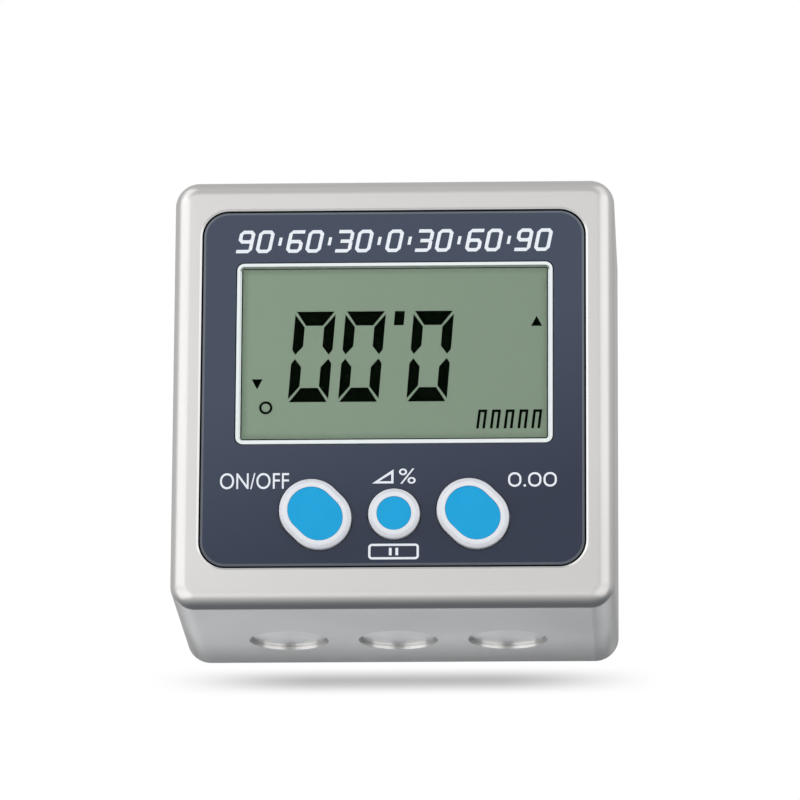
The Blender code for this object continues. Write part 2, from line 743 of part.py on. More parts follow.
def build_switch(name, x):
    """A square push switch on the board, with a bore for its plunger."""
    end = BOARD_FRONT - FIT
    full = rectangle(SWITCH_SIZE, SWITCH_SIZE)
    eased = rectangle(SWITCH_SIZE - 2 * SWITCH_CHAMFER, SWITCH_SIZE - 2 * SWITCH_CHAMFER)
    case = loft(f"{name}_switch", [
        (eased, SWITCH_FRONT), (full, SWITCH_FRONT + SWITCH_CHAMFER), (full, end)],
        black_plastic(), place=(x, 0, KEY_Z))
    bore = circle(PLUNGER_RADIUS + SLIDE, SCREW_STEPS)
    floor = SWITCH_FRONT + PLUNGER_DEPTH + KEY_TRAVEL + SLIDE
    boolean(case, loft(f"{name}_switch_bore", [(bore, SWITCH_FRONT - PIERCE), (bore, floor)],
                       place=(x, 0, KEY_Z)))


# Board and what it carries

def build_board():
    width = CAVITY_WIDTH - 2 * BOARD_GAP
    height = CAVITY_HEIGHT - 2 * BOARD_GAP
    sheet = rectangle(width, height, (0, CAVITY_Z))
    board = loft("main_board", [(sheet, BOARD_FRONT), (sheet, BOARD_BACK)], board_laminate())
    ends = BOARD_FRONT - PIERCE, BOARD_BACK + PIERCE
    notch = circle(COVER_BOSS_RADIUS + BOARD_GAP, CELL_STEPS)
    for place, x, z in mirrored_places(COVER_BOSS_X, COVER_BOSS_RISE):
        boolean(board, loft(f"notch_cut_{place}", [(notch, ends[0]), (notch, ends[1])],
                            place=(x, 0, z)))
    hole = circle(SCREW_RADIUS + FIT, SCREW_STEPS)
    for place, x, z in mirrored_places(BOARD_BOSS_X, BOARD_BOSS_RISE):
        boolean(board, loft(f"board_hole_{place}", [(hole, ends[0]), (hole, ends[1])],
                            place=(x, 0, z)))
    for name, size, tall, x in (
            ("processor_chip", CHIP_SIZE, CHIP_HEIGHT, 0),
            ("tilt_sensor", SENSOR_SIZE, SENSOR_HEIGHT, SENSOR_X)):
        outline = rectangle(size, size)
        eased = rectangle(size - tall / 2, size - tall / 2)
        foot = BOARD_BACK + FIT
        loft(name, [(outline, foot), (outline, foot + tall / 2), (eased, foot + tall)],
             black_plastic(), place=(x, 0, CAVITY_Z))


# Screws

def screw_mesh(length):
    """A pan head with a cross recess, its top at the origin, and a plain shank along -Y."""
    head = circle(SCREW_HEAD_RADIUS, SCREW_STEPS)
    eased = circle(SCREW_HEAD_RADIUS - SCREW_HEAD_HEIGHT / 3, SCREW_STEPS)
    shank = circle(SCREW_RADIUS, SCREW_STEPS)
    screw = loft("screw", [
        (eased, 0), (head, -SCREW_HEAD_HEIGHT / 3), (head, -SCREW_HEAD_HEIGHT),
        (shank, -SCREW_HEAD_HEIGHT), (shank, -SCREW_HEAD_HEIGHT - length)], screw_steel())
    cross = (SCREW_RECESS_LENGTH / 2, SCREW_RECESS_WIDTH / 2)
    for across, up in (cross, cross[::-1]):
        bar = block("recess_cut", (-across, -SCREW_RECESS_DEPTH, -up), (across, PIERCE, up))
        boolean(screw, bar)
    return realised(screw)


def build_screws():
    kinds = (
        ("cover_screw", COVER_SCREW_LENGTH, COVER_BOSS_X, COVER_BOSS_RISE, COVER_BACK - FIT),
        ("board_screw", BOARD_SCREW_LENGTH, BOARD_BOSS_X, BOARD_BOSS_RISE,
         BOARD_BACK + FIT + SCREW_HEAD_HEIGHT))
    for kind, length, across, rise, top in kinds:
        mesh = screw_mesh(length)
        for place, x, z in mirrored_places(across, rise):
            add_object(f"{kind}_{place}", mesh, place=(x, top, z))


# Rear cover with its battery tray

def door_outline(grow=0.0):
    width = 2 * (TRAY_HALF_LENGTH + DOOR_LAP)
    height = 2 * (TRAY_HALF_HEIGHT + DOOR_LAP)
    return rounded_rectangle(width, height, INNER_RADIUS, (0, CAVITY_Z), grow)


def door_tab_places():
    """Each tab on the door's edge: name, its middle in X, its width, and +1 for the top edge."""
    return (("tab_left", -DOOR_TAB_SPREAD / 2, DOOR_TAB_WIDTH, -1),
            ("tab_right", DOOR_TAB_SPREAD / 2, DOOR_TAB_WIDTH, -1),
            ("latch", 0.0, LATCH_WIDTH, 1))


def edge_block(name, x, width, up, grow, front, back):
    """A block on the door's edge that reaches past it by the tab's length, grown by grow."""
    edge = TRAY_HALF_HEIGHT + DOOR_LAP
    ends = CAVITY_Z + up * (edge - DOOR_LAP), CAVITY_Z + up * (edge + DOOR_TAB_REACH + grow)
    return block(name, (x - width / 2 - grow, front, min(ends)),
                 (x + width / 2 + grow, back, max(ends)))


def build_cover():
    cover = loft("rear_cover", [
        (cavity_outline(-COVER_GAP), COVER_FRONT),
        (cavity_outline(-COVER_GAP), COVER_BACK - COVER_CHAMFER),
        (cavity_outline(-COVER_GAP - COVER_CHAMFER), COVER_BACK)], cover_plastic())
    outer = TRAY_HALF_LENGTH + TRAY_END_WALL
    depth = COVER_FRONT + COVER_THICKNESS / 2 - TRAY_BOTTOM
    height = 2 * (TRAY_HALF_HEIGHT + TRAY_WALL)
    tray_section = rounded_rectangle(depth + TRAY_EDGE, height, TRAY_EDGE,
                                     (TRAY_BOTTOM + (depth + TRAY_EDGE) / 2, CAVITY_Z))
    tray = loft("tray_block", [(tray_section, -outer), (tray_section, outer)], axis="X")
    back_trim = block("tray_trim", (-outer - PIERCE, COVER_FRONT + COVER_THICKNESS / 2, 0),
                      (outer + PIERCE, BACK_Y + TRAY_EDGE, BODY_HEIGHT))
    boolean(tray, back_trim)
    boolean(cover, tray, "UNION")

    bay = cell_bay_outline()
    boolean(cover, loft("bay_cut", [(bay, -TRAY_HALF_LENGTH), (bay, TRAY_HALF_LENGTH)], axis="X"))
    near = TRAY_HALF_LENGTH - FIT
    far = TRAY_HALF_LENGTH + CONTACT_THICKNESS + FIT
    for name, up in (("positive", 1), ("negative", -1)):
        recess = contact_outline(up, CELL_GAP, TRAY_BOTTOM - PIERCE, DOOR_FRONT)
        boolean(cover, loft(f"{name}_recess", [(recess, -far), (recess, -near)], axis="X"))
    recess = link_outline(CELL_GAP, DOOR_FRONT)
    boolean(cover, loft("link_recess", [(recess, near), (recess, far)], axis="X"))
    rebate = loft("rebate_cut", [
        (door_outline(FIT), DOOR_FRONT - FIT), (door_outline(FIT), BACK_Y + PIERCE)])
    boolean(cover, rebate)
    for name, x, width, up in door_tab_places():
        boolean(cover, edge_block(f"{name}_notch", x, width, up, FIT,
                                  DOOR_FRONT + DOOR_TAB_EASE - FIT, BACK_Y + PIERCE))
    scoop = loft("scoop_cut", [
        (circle(SCOOP_RADIUS, CELL_STEPS), COVER_BACK - SCOOP_DEPTH),
        (circle(SCOOP_RADIUS, CELL_STEPS), BACK_Y + PIERCE)],
        place=(0, 0, CAVITY_Z + TRAY_HALF_HEIGHT + DOOR_LAP))
    boolean(cover, scoop)

    shank = circle(SCREW_RADIUS + FIT, SCREW_STEPS)
    head = circle(SCREW_HEAD_RADIUS + FIT, SCREW_STEPS)
    seat = COVER_BACK - SCREW_HEAD_HEIGHT - 2 * FIT
    for place, x, z in mirrored_places(COVER_BOSS_X, COVER_BOSS_RISE):
        bore = loft(f"cover_hole_{place}", [
            (shank, COVER_FRONT - PIERCE), (shank, seat),
            (head, seat), (head, BACK_Y + PIERCE)], place=(x, 0, z))
        boolean(cover, bore)


def cell_bay_outline():
    """The bay across its length, in Y and Z: a trough under each cell and a ridge between."""
    radius = CELL_DIAMETER / 2 + CELL_GAP
    sweep = math.pi / 2 + TRAY_RIDGE_ANGLE
    upper = arc((CELL_Y, CAVITY_Z + CELL_RISE), radius, math.pi / 2, sweep, CELL_STEPS // 2)
    lower = arc((CELL_Y, CAVITY_Z - CELL_RISE), radius, -math.pi / 2, -sweep, CELL_STEPS // 2)
    mouth = BACK_Y + PIERCE
    return [(mouth, upper[0][1]), *upper, *reversed(lower), (mouth, lower[0][1])]


def contact_outline(up, grow, tail, back):
    """One cell's contact plate in Y and Z, up to back, with its tail down to tail."""
    middle = CAVITY_Z + up * CELL_RISE
    front = CELL_Y - CONTACT_SIZE / 2 - grow
    high = middle + CONTACT_SIZE / 2 + grow
    low = middle - CONTACT_SIZE / 2 - grow
    half = CONTACT_TAIL_WIDTH / 2 + grow
    return [
        (back, low), (back, high), (front, high), (front, middle + half),
        (tail, middle + half), (tail, middle - half), (front, middle - half), (front, low)]


def link_outline(grow, back):
    """The plate across both cells in Y and Z, up to back."""
    front = CELL_Y - CONTACT_SIZE / 2 - grow
    reach = CELL_RISE + CONTACT_SIZE / 2 + grow
    return rectangle(back - front, 2 * reach, ((front + back) / 2, CAVITY_Z))


def build_door():
    door = loft("battery_door", [
        (door_outline(), DOOR_FRONT),
        (door_outline(), COVER_BACK - COVER_CHAMFER / 2),
        (door_outline(-COVER_CHAMFER / 2), COVER_BACK)], cover_plastic())
    for name, x, width, up in door_tab_places():
        boolean(door, edge_block(f"door_{name}", x, width, up, 0, DOOR_FRONT + DOOR_TAB_EASE,
                                 DOOR_FRONT + DOOR_TAB_THICKNESS), "UNION")
    for side in (-1, 1):
        x = side * TRAY_HALF_LENGTH / 2
        rib = block(f"door_rib_{side}",
                    (x - DOOR_RIB_WIDTH / 2, DOOR_FRONT - DOOR_RIB, CAVITY_Z - TRAY_HALF_HEIGHT / 2),
                    (x + DOOR_RIB_WIDTH / 2, DOOR_FRONT + DOOR_THICKNESS / 2,
                     CAVITY_Z + TRAY_HALF_HEIGHT / 2))
        boolean(door, rib, "UNION")
    edge = CAVITY_Z + TRAY_HALF_HEIGHT + DOOR_LAP
    for index in range(GRIP_GROOVES):
        z = edge - GRIP_MARGIN - index * GRIP_PITCH
        groove = block(f"grip_cut_{index}",
                       (-GRIP_WIDTH / 2, COVER_BACK - GRIP_DEPTH, z - GRIP_GROOVE / 2),
                       (GRIP_WIDTH / 2, COVER_BACK + PIERCE, z + GRIP_GROOVE / 2))
        boolean(door, groove)


# Cells, springs, contacts and leads

def build_cells():
    """Two cells, the upper one with its nub to the left and the lower one to the right."""
    radius = CELL_DIAMETER / 2
    eased = circle(radius - CELL_EDGE, CELL_STEPS)
    full = circle(radius, CELL_STEPS)
    nub = circle(CELL_NUB_DIAMETER / 2, CELL_STEPS)
    shoulder = CELL_LENGTH - CELL_NUB_LENGTH
    profile = [
        (eased, 0), (full, CELL_EDGE), (full, shoulder - CELL_EDGE), (eased, shoulder),
        (nub, shoulder), (nub, CELL_LENGTH)]
    start = TRAY_HALF_LENGTH - SPRING_LENGTH - 2 * FIT
    for name, up in (("upper", 1), ("lower", -1)):
        rings = [(outline, up * (start - level)) for outline, level in profile]
        loft(f"battery_{name}", rings, cell_jacket(), axis="X",
             place=(0, CELL_Y, CAVITY_Z + up * CELL_RISE))


def build_springs():
    """A conical coil between each cell's flat end and its contact plate."""
    steps = SPRING_STEPS * SPRING_TURNS
    length = SPRING_LENGTH - SPRING_WIRE
    start = TRAY_HALF_LENGTH - FIT - SPRING_WIRE / 2
    for name, up in (("upper", 1), ("lower", -1)):
        points = []
        for step in range(steps + 1):
            share = step / steps
            angle = math.tau * SPRING_TURNS * share
            width = SPRING_BASE_DIAMETER * (1 - share) + SPRING_TIP_DIAMETER * share
            radius = (width - SPRING_WIRE) / 2
            points.append((up * (start - length * share),
                           radius * math.cos(angle), radius * math.sin(angle)))
        tube(f"battery_spring_{name}", points, SPRING_WIRE, contact_steel(),
             place=(0, CELL_Y, CAVITY_Z + up * CELL_RISE))


def build_contacts():
    """Two plates with tails at the left, and one plate across both cells at the right."""
    inner = TRAY_HALF_LENGTH
    outer = TRAY_HALF_LENGTH + CONTACT_THICKNESS
    back = CELL_Y + CONTACT_SIZE / 2
    for name, up in (("positive", 1), ("negative", -1)):
        plate = contact_outline(up, 0, TRAY_BOTTOM - CONTACT_TAIL_REACH, back)
        loft(f"{name}_contact", [(plate, -outer), (plate, -inner)], contact_steel(), axis="X")
    plate = link_outline(0, back)
    loft("battery_link", [(plate, inner), (plate, outer)], contact_steel(), axis="X")


def build_leads():
    """A short insulated lead from each contact's tail to the board."""
    start_x = -TRAY_HALF_LENGTH - CONTACT_THICKNESS / 2
    start_y = TRAY_BOTTOM - CONTACT_TAIL_REACH - FIT
    end_y = BOARD_BACK + FIT
    run = start_y - end_y
    for name, up, finish in (("positive", 1, red_insulation()), ("negative", -1, black_insulation())):
        start = Vector((start_x, start_y, CAVITY_Z + up * CELL_RISE))
        end = Vector((start_x + CELL_RISE / 2, end_y, CAVITY_Z + up * CELL_RISE / 2))
        points = []
        for step in range(LEAD_STEPS + 1):
            share = step / LEAD_STEPS
            blend = share * share * (3 - 2 * share)
            point = start.lerp(end, blend)
            point.y = start_y - run * share
            points.append(point)
        tube(f"{name}_lead", points, LEAD_DIAMETER, finish, sides=2)


def build():
    for existing in list(bpy.data.objects):
        bpy.data.objects.remove(existing)
    build_housing()
    build_magnets()
    build_panel()
    build_holder()
    build_display()
    for name, x, radius, stretch in KEYS:
        build_key(name, x, radius, stretch)
        build_switch(name, x)
    build_board()
    build_screws()
    build_cover()
    build_door()
    build_cells()
    build_springs()
    build_contacts()
    build_leads()


build()
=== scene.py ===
"""The looks of a digital angle gauge: finishes, finer shells, printing, light and camera.

Metres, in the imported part's frame: the base stands at Z = 0 and the display faces -Y.
"""

import json
import math

import bmesh
import bpy
from mathutils import Matrix, Vector


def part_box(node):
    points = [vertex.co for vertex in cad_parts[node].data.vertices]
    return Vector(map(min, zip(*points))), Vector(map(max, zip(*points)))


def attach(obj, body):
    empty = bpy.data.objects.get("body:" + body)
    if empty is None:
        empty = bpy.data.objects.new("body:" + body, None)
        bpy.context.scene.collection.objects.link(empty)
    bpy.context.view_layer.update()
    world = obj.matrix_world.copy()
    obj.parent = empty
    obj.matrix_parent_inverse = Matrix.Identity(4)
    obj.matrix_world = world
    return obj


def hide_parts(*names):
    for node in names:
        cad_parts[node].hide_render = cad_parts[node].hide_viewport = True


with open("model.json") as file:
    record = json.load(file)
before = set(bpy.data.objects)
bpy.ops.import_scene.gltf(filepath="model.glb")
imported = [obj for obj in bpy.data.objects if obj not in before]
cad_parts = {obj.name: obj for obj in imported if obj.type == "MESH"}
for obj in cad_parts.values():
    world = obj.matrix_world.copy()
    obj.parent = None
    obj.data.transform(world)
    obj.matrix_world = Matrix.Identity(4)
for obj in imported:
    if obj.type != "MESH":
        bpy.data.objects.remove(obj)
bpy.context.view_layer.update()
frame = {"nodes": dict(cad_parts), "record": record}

MM = 0.001

# Camera, as fitted to the photograph
CAMERA_PLACE = Vector((41.055, -864.17, -207.435)) * MM
CAMERA_YAW = math.radians(2.693)
CAMERA_PITCH = math.radians(15.452)
CAMERA_ROLL = math.radians(0.3285)
CAMERA_LENS = 303.04
CAMERA_SHIFT = (-0.00206, 0.00291)
CAMERA_NEAR = 10 * MM

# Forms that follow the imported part
FRONT_ROUNDING = 2.2 * MM
CORNER_RADIUS = 3.2 * MM
BACK_CHAMFER = 0.3 * MM
POCKET_LIP = 0.26 * MM
POCKET_LIP_DEPTH = 0.16 * MM
PANEL_GAP = 0.25 * MM
PANEL_RADIUS = 3.3 * MM
PANEL_EDGE = 0.3 * MM
PANEL_EDGE_DEPTH = 0.12 * MM
LEDGE_WIDTH = 1.0 * MM
LEDGE_THICKNESS = 1.45 * MM
INNER_RADIUS = 1.5 * MM
WALLS = {"side": 2.5 * MM, "top": 2.5 * MM, "base": 4.5 * MM}
WINDOW_RADIUS = 0.95 * MM
RIM_SEAT = 0.4 * MM
RIM_SHADE = (0.1 * MM, 0.3 * MM)
MAGNET_EDGE = 0.1 * MM
MAGNET_STEP = 0.01 * MM
FIT = 0.15 * MM
MAGNET_GAP = 0.25 * MM
MAGNET_SIDES = ("left", "middle", "right")
KEY_RIM = 0.7 * MM
KEY_FLANGE = 0.65 * MM
KEY_DRAW = 1.1 * MM
KEY_TILT = math.radians(135)
KEY_ROUNDING = 0.85 * MM
KEY_ROUNDING_DEPTH = 0.35 * MM
KEY_LIP = 0.26 * MM
CLOSE_FIT = 0.02 * MM
INLAY_EDGE = 0.04 * MM
# Painted shade on the panel, the housing's metal and the display's film
PANEL_PAINTED_SHADE = (9.0 * MM, 34.0 * MM)
PANEL_PAINTED_SHADE_WAY = (-0.30, 0, 1)
METAL_PAINTED_SHADE = (-14 * MM, -2 * MM)
METAL_PAINTED_SHADE_WAY = (0.25, 0, -1)
FILM_EDGE_SHADE = 0.9 * MM
FILM_RIGHT_SHADE = 0.67
FILM_RIM_SHADE = 0.70
# Cells and the screws of the rear cover
CELL_BARE = 2.3 * MM
CELL_BLEND = 0.05 * MM
SCREW_RECESS = (2.0 * MM, 0.5 * MM, 0.6 * MM)
SCREW_HEAD = 1.2 * MM
SCREW_CHAMFER = 0.4 * MM
SCREW_SHANK = 1.0 * MM

# How far a cutting tool reaches past what it cuts
PIERCE = 1.0 * MM

# Smoothness of the finer shells
CORNER_STEPS = 16
ROUNDING_STEPS = 14
KEY_STEPS = 32
SHOULDER_STEPS = 8
ROUND_STEPS = 72
SCREW_STEPS = 48
LETTER_STEPS = 6
LETTER_MERGE = 1e-5
SMOOTH_ANGLE = math.radians(30)
FLAT_WEIGHT = 100

# Shares of a normal that tell flat, sloped and upright faces apart
FLAT_FACING = 0.98
SLOPED_FACING = 0.95
HALF_FACING = 0.5
UPRIGHT_FACING = 0.2

# Printing on the panel and marks on the display's film
PRINT_THICKNESS = 0.03 * MM
MARK_THICKNESS = 0.03 * MM
MARK_LIFT = 0.005 * MM
SCALE_NUMBERS = ("90", "60", "30", "0", "30", "60", "90")
SCALE_LEFT = -20.85 * MM
SCALE_RIGHT = 21.05 * MM
SCALE_BASE = 47.85 * MM
SCALE_SLANT = 0.2
DIGIT_WIDTH = 2.05 * MM
DIGIT_HEIGHT = 3.1 * MM
DIGIT_GAP = 0.5 * MM
DIGIT_STROKE = 0.46 * MM
DIGIT_CORNER = 0.46 * MM
DIGIT_ARM = 0.22
TICK_WIDTH = 0.4 * MM
TICK_HEIGHT = 1.1 * MM

# Each label's name, text, and left, right, bottom and top in mm
LABELS = (
    ("power_label", "ON/OFF", (-22.54, -13.51, 15.70, 17.86)),
    ("hold_label_upper", "%", (0.85, 3.05, 16.30, 18.35)))

# Places of printed signs and marks, and the widths of their lines
ZERO_LABEL = (15.1 * MM, 21.45 * MM, 15.80 * MM, 17.75 * MM)
ZERO_LINE = 0.27 * MM
ZERO_DOT = 0.17 * MM
ZERO_ROUND = 0.48
LINE = 0.3 * MM
SLOPE = (-2.65 * MM, 0.15 * MM, 16.35 * MM, 18.25 * MM)
SLOPE_MITRE = 1.2
PAUSE_PLACE = (0.21 * MM, 7.19 * MM)
PAUSE_FRAME = (6.6 * MM, 2.1 * MM)
PAUSE_RADIUS = 0.5 * MM
PAUSE_BAR = (0.36 * MM, 1.0 * MM)
PAUSE_SPREAD = 0.85 * MM
DEGREE_PLACE = (-16.68 * MM, 26.79 * MM)
DEGREE_RADIUS = 0.87 * MM
DEGREE_LINE = 0.3 * MM
BARS_LEFT = 10.9 * MM
BARS_BASE = 23.8 * MM
BARS_PITCH = 1.8 * MM
BARS_COUNT = 5
BAR_WIDTH = 1.15 * MM
BAR_HEIGHT = 2.2 * MM
BAR_LINE = 0.34 * MM
BARS_SLANT = 0.12


def box_of(node):
    low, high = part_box(node)
    return Vector(low), Vector(high)


HOUSING_LOW, HOUSING_HIGH = box_of("housing")
PANEL_LOW, PANEL_HIGH = box_of("front_panel")
WINDOW_LOW, WINDOW_HIGH = box_of("display_window")
FRONT_Y = HOUSING_LOW.y
BACK_Y = HOUSING_HIGH.y
PANEL_FRONT = PANEL_LOW.y
PANEL_BACK = PANEL_HIGH.y


# Outlines

def arc(centre, radius, start, sweep, steps):
    angles = [start + sweep * step / steps for step in range(steps + 1)]
    return [(centre[0] + radius * math.cos(a), centre[1] + radius * math.sin(a)) for a in angles]


def circle(radius, steps, centre=(0, 0)):
    return arc(centre, radius, 0, math.tau, steps)[:-1]


def rounded_rectangle(low, high, radius, grow=0.0, steps=CORNER_STEPS):
    """A rectangle between two corners in X and Z, with round corners, grown by grow."""
    places = (
        (high[0] - radius, high[1] - radius), (low[0] + radius, high[1] - radius),
        (low[0] + radius, low[1] + radius), (high[0] - radius, low[1] + radius))
    points = []
    for quarter, place in enumerate(places):
        points += arc(place, radius + grow, quarter * math.pi / 2, math.pi / 2, steps)
    return points


def rounding(steps):
    """Pairs of depth and inset, from the front of a rounding of size 1 to its side."""
    angles = [math.pi / 2 * step / steps for step in range(steps + 1)]
    return [(1 - math.cos(angle), 1 - math.sin(angle)) for angle in angles]


def key_outline(radius, stretch, grow=0.0):
    """A circle, or two half circles drawn apart along the key's tilted length."""
    if not stretch:
        return circle(radius + grow, 2 * KEY_STEPS)
    points = []
    for turn in (0, math.pi):
        middle = (stretch / 2 * math.cos(KEY_TILT + turn), stretch / 2 * math.sin(KEY_TILT + turn))
        start = KEY_TILT + turn - math.pi / 2
        points += arc(middle, radius + grow, start, math.pi, KEY_STEPS)
    return points


# Meshes

AXES = {
    "X": lambda a, b, level: (level, a, b),
    "Y": lambda a, b, level: (a, level, b),
    "Z": lambda a, b, level: (a, b, level),
}


def add_object(name, data):
    made = bpy.data.objects.new(name, data)
    bpy.context.scene.collection.objects.link(made)
    return made


def smooth(mesh):
    mesh.shade_smooth()
    mesh.set_sharp_from_angle(angle=SMOOTH_ANGLE)


def add_mesh(name, bm, place=(0, 0, 0)):
    bmesh.ops.recalc_face_normals(bm, faces=bm.faces)
    mesh = bpy.data.meshes.new(name)
    bm.to_mesh(mesh)
    bm.free()
    smooth(mesh)
    made = add_object(name, mesh)
    made.location = place
    return made


def loft(name, rings, axis="Y", closed=False, place=(0, 0, 0)):
    """A solid through rings of (outline, level). A closed one runs from the last to the first."""
    bm = bmesh.new()
    loops = []
    for outline, level in rings:
        loops.append([bm.verts.new(AXES[axis](a, b, level)) for a, b in outline])
    pairs = list(zip(loops, loops[1:]))
    if closed:
        pairs.append((loops[-1], loops[0]))
    for first, second in pairs:
        for index in range(len(first)):
            before = index - 1
            bm.faces.new((first[before], first[index], second[index], second[before]))
    if not closed:
        bm.faces.new(loops[0])
        bm.faces.new(reversed(loops[-1]))
    return add_mesh(name, bm, place)


def prism(bm, outline, front, back):
    """Adds a prism across Y to the mesh in hand."""
    near = [bm.verts.new((x, front, z)) for x, z in outline]
    far = [bm.verts.new((x, back, z)) for x, z in outline]
    bm.faces.new(near)
    bm.faces.new(reversed(far))
    for index in range(len(near)):
        bm.faces.new((near[index - 1], near[index], far[index], far[index - 1]))


def cut(target, tools):
    """Takes the tools away from the target and leaves one plain mesh."""
    for tool in tools:
        modifier = target.modifiers.new(tool.name, "BOOLEAN")
        modifier.operation = "DIFFERENCE"
        modifier.solver = "EXACT"
        modifier.object = tool
    graph = bpy.context.evaluated_depsgraph_get()
    mesh = bpy.data.meshes.new_from_object(target.evaluated_get(graph))
    target.modifiers.clear()
    target.data = mesh
    smooth(mesh)
    for tool in tools:
        bpy.data.objects.remove(tool)


def keep_flats_flat(target):
    """Large flat faces set the normals along their edges, so that no shade creeps over them."""
    modifier = target.modifiers.new("flat_faces", "WEIGHTED_NORMAL")
    modifier.mode = "FACE_AREA"
    modifier.weight = FLAT_WEIGHT
    modifier.keep_sharp = True


# Materials

class Graph:
    """The nodes of a material or a world, and the place that they go by."""

    def __init__(self, tree, place="Object"):
        self.tree = tree
        self.place = self.node("ShaderNodeTexCoord").outputs[place]

    def node(self, kind, inputs=None, **settings):
        """A new node. Each of the inputs named takes a value or another node's output."""
        made = self.tree.nodes.new(kind)
        for name, value in settings.items():
            setattr(made, name, value)
        for name, value in (inputs or {}).items():
            if isinstance(value, bpy.types.NodeSocket):
                self.tree.links.new(value, made.inputs[name])
            else:
                made.inputs[name].default_value = value
        return made

    def maths(self, operation, *values):
        return self.node("ShaderNodeMath", dict(enumerate(values)), operation=operation).outputs[0]

    def times(self, whole, *others):
        """The product of all the values."""
        for other in others:
            whole = self.maths("MULTIPLY", whole, other)
        return whole

    def ranged(self, value, low, high, start=0.0, end=1.0, **settings):
        """Maps low to high onto start to end, and stops there."""
        return self.node("ShaderNodeMapRange", {
            "Value": value, "From Min": low, "From Max": high, "To Min": start, "To Max": end},
            **settings).outputs["Result"]

    def soft_step(self, value, start, end):
        """Runs smoothly from 0 at start to 1 at end."""
        return self.ranged(value, start, end, interpolation_type="SMOOTHSTEP")

    def mixed(self, share, first, second):
        """A colour between two others, by the second one's share."""
        return self.node("ShaderNodeMix", {"Factor": share, "A": first, "B": second},
                         data_type="RGBA").outputs["Result"]

    def part(self, vector, axis):
        return self.node("ShaderNodeSeparateXYZ", {"Vector": vector}).outputs[axis]

    def along(self, axis):
        return self.part(self.place, axis)

    def along_way(self, way):
        return self.node("ShaderNodeVectorMath", {0: self.place, 1: way},
                         operation="DOT_PRODUCT").outputs["Value"]

    def show(self, share, first, second):
        """Gives a material two shaders, by the second one's share."""
        mix = self.node("ShaderNodeMixShader", {
            0: share, 1: first.outputs[0], 2: second.outputs[0]})
        self.node("ShaderNodeOutputMaterial", {"Surface": mix.outputs[0]})


class Finish(Graph):
    """A material with one Principled shader and the nodes that drive it."""

    def __init__(self, name, colour, roughness, metallic=0.0, specular=0.5):
        self.material = bpy.data.materials.new(name)
        self.material.use_nodes = True
        super().__init__(self.material.node_tree)
        self.inputs = self.tree.nodes["Principled BSDF"].inputs
        self.inputs["Base Color"].default_value = (*colour, 1.0)
        self.inputs["Roughness"].default_value = roughness
        self.inputs["Metallic"].default_value = metallic
        self.inputs["Specular IOR Level"].default_value = specular
        self.colour = colour
        self.roughness = roughness
        self.found = (*colour, 1.0)

    def drive(self, name, output):
        """Lets a node's output set an input of the shader."""
        self.tree.links.new(output, self.inputs[name])

    def noise(self, scale, detail=3.0, stretch=(1, 1, 1)):
        """Noise whose features are about 1 / scale metres."""
        spread = self.node("ShaderNodeMapping", {"Scale": stretch, "Vector": self.place})
        return self.node("ShaderNodeTexNoise", {
            "Scale": scale, "Detail": detail, "Vector": spread.outputs["Vector"]}).outputs["Fac"]

    def vary_colour(self, value, other):
        """Turns the colour found so far towards another one by value."""
        self.found = self.mixed(value, self.found, (*other, 1.0))
        self.drive("Base Color", self.found)

    def vary_roughness(self, value, spread):
        """Lets the roughness run by spread to both sides of its middle."""
        low, high = self.roughness - spread, self.roughness + spread
        self.drive("Roughness", self.ranged(value, 0.3, 0.7, low, high))

    def bump(self, height, distance, strength):
        made = self.node("ShaderNodeBump", {
            "Height": height, "Distance": distance, "Strength": strength})
        self.drive("Normal", made.outputs["Normal"])


def shade(colour, share):
    return tuple(part * share for part in colour)


def satin_metal():
    """Fine blasted aluminium: an even grain, with painted shade that darkens it a little towards
    the base and its right side.
    """
    finish = Finish("satin_metal_finish", (0.70, 0.69, 0.68), 0.31, 1.0)
    grain = finish.noise(5200, 4.0)
    clouds = finish.noise(60, 2.0)
    finish.vary_roughness(clouds, 0.015)
    finish.vary_colour(finish.ranged(clouds, 0.2, 0.8), shade(finish.colour, 0.97))
    # Painted shade: the metal turns a little darker towards the base and the right side.
    fall = finish.ranged(finish.along_way(METAL_PAINTED_SHADE_WAY), *METAL_PAINTED_SHADE)
    finish.vary_colour(fall, shade(finish.colour, 0.93))
    finish.bump(grain, 0.006 * MM, 0.35)
    return finish.material


def bored_metal():
    """The bright turned wall of the magnets' holes, with painted shade where the wall faces the
    front.
    """
    finish = Finish("bored_metal_finish", (0.5, 0.5, 0.5), 0.2, 1.0)
    finish.vary_roughness(finish.noise(900), 0.03)
    # Painted shade: the wall is darker where it faces the front and bright where it turns aside.
    normal = finish.node("ShaderNodeNewGeometry").outputs["Normal"]
    clear_of_painted_shade = finish.maths("ABSOLUTE", finish.part(normal, "X"))
    finish.vary_colour(finish.ranged(clear_of_painted_shade, 0.05, 0.3), (0.88, 0.88, 0.87))
    return finish.material


def lip_metal():
    """The bright cut edge of the panel's pocket."""
    finish = Finish("lip_metal_finish", (0.73, 0.73, 0.725), 0.24, 1.0)
    finish.vary_roughness(finish.noise(900), 0.02)
    return finish.material


def clouded(name, colour, other, roughness, scale, metallic=0.0, specular=0.5, bump=None):
    """Two close colours in soft clouds, with a bump of (scale, height in mm, strength)."""
    finish = Finish(name, colour, roughness, metallic, specular)
    finish.vary_colour(finish.ranged(finish.noise(scale), 0.3, 0.7), other)
    if bump:
        grain, height, strength = bump
        finish.bump(finish.noise(grain), height * MM, strength)
    return finish.material


def inner_painted_shade():
    """The housing's inside, kept dull as cast and painted near black as shade, so that the gap
    round the panel shows dark.
    """
    return clouded(
        "inner_painted_shade_finish", (0.05, 0.05, 0.055), (0.07, 0.07, 0.075), 0.6, 400, metallic=0.5)


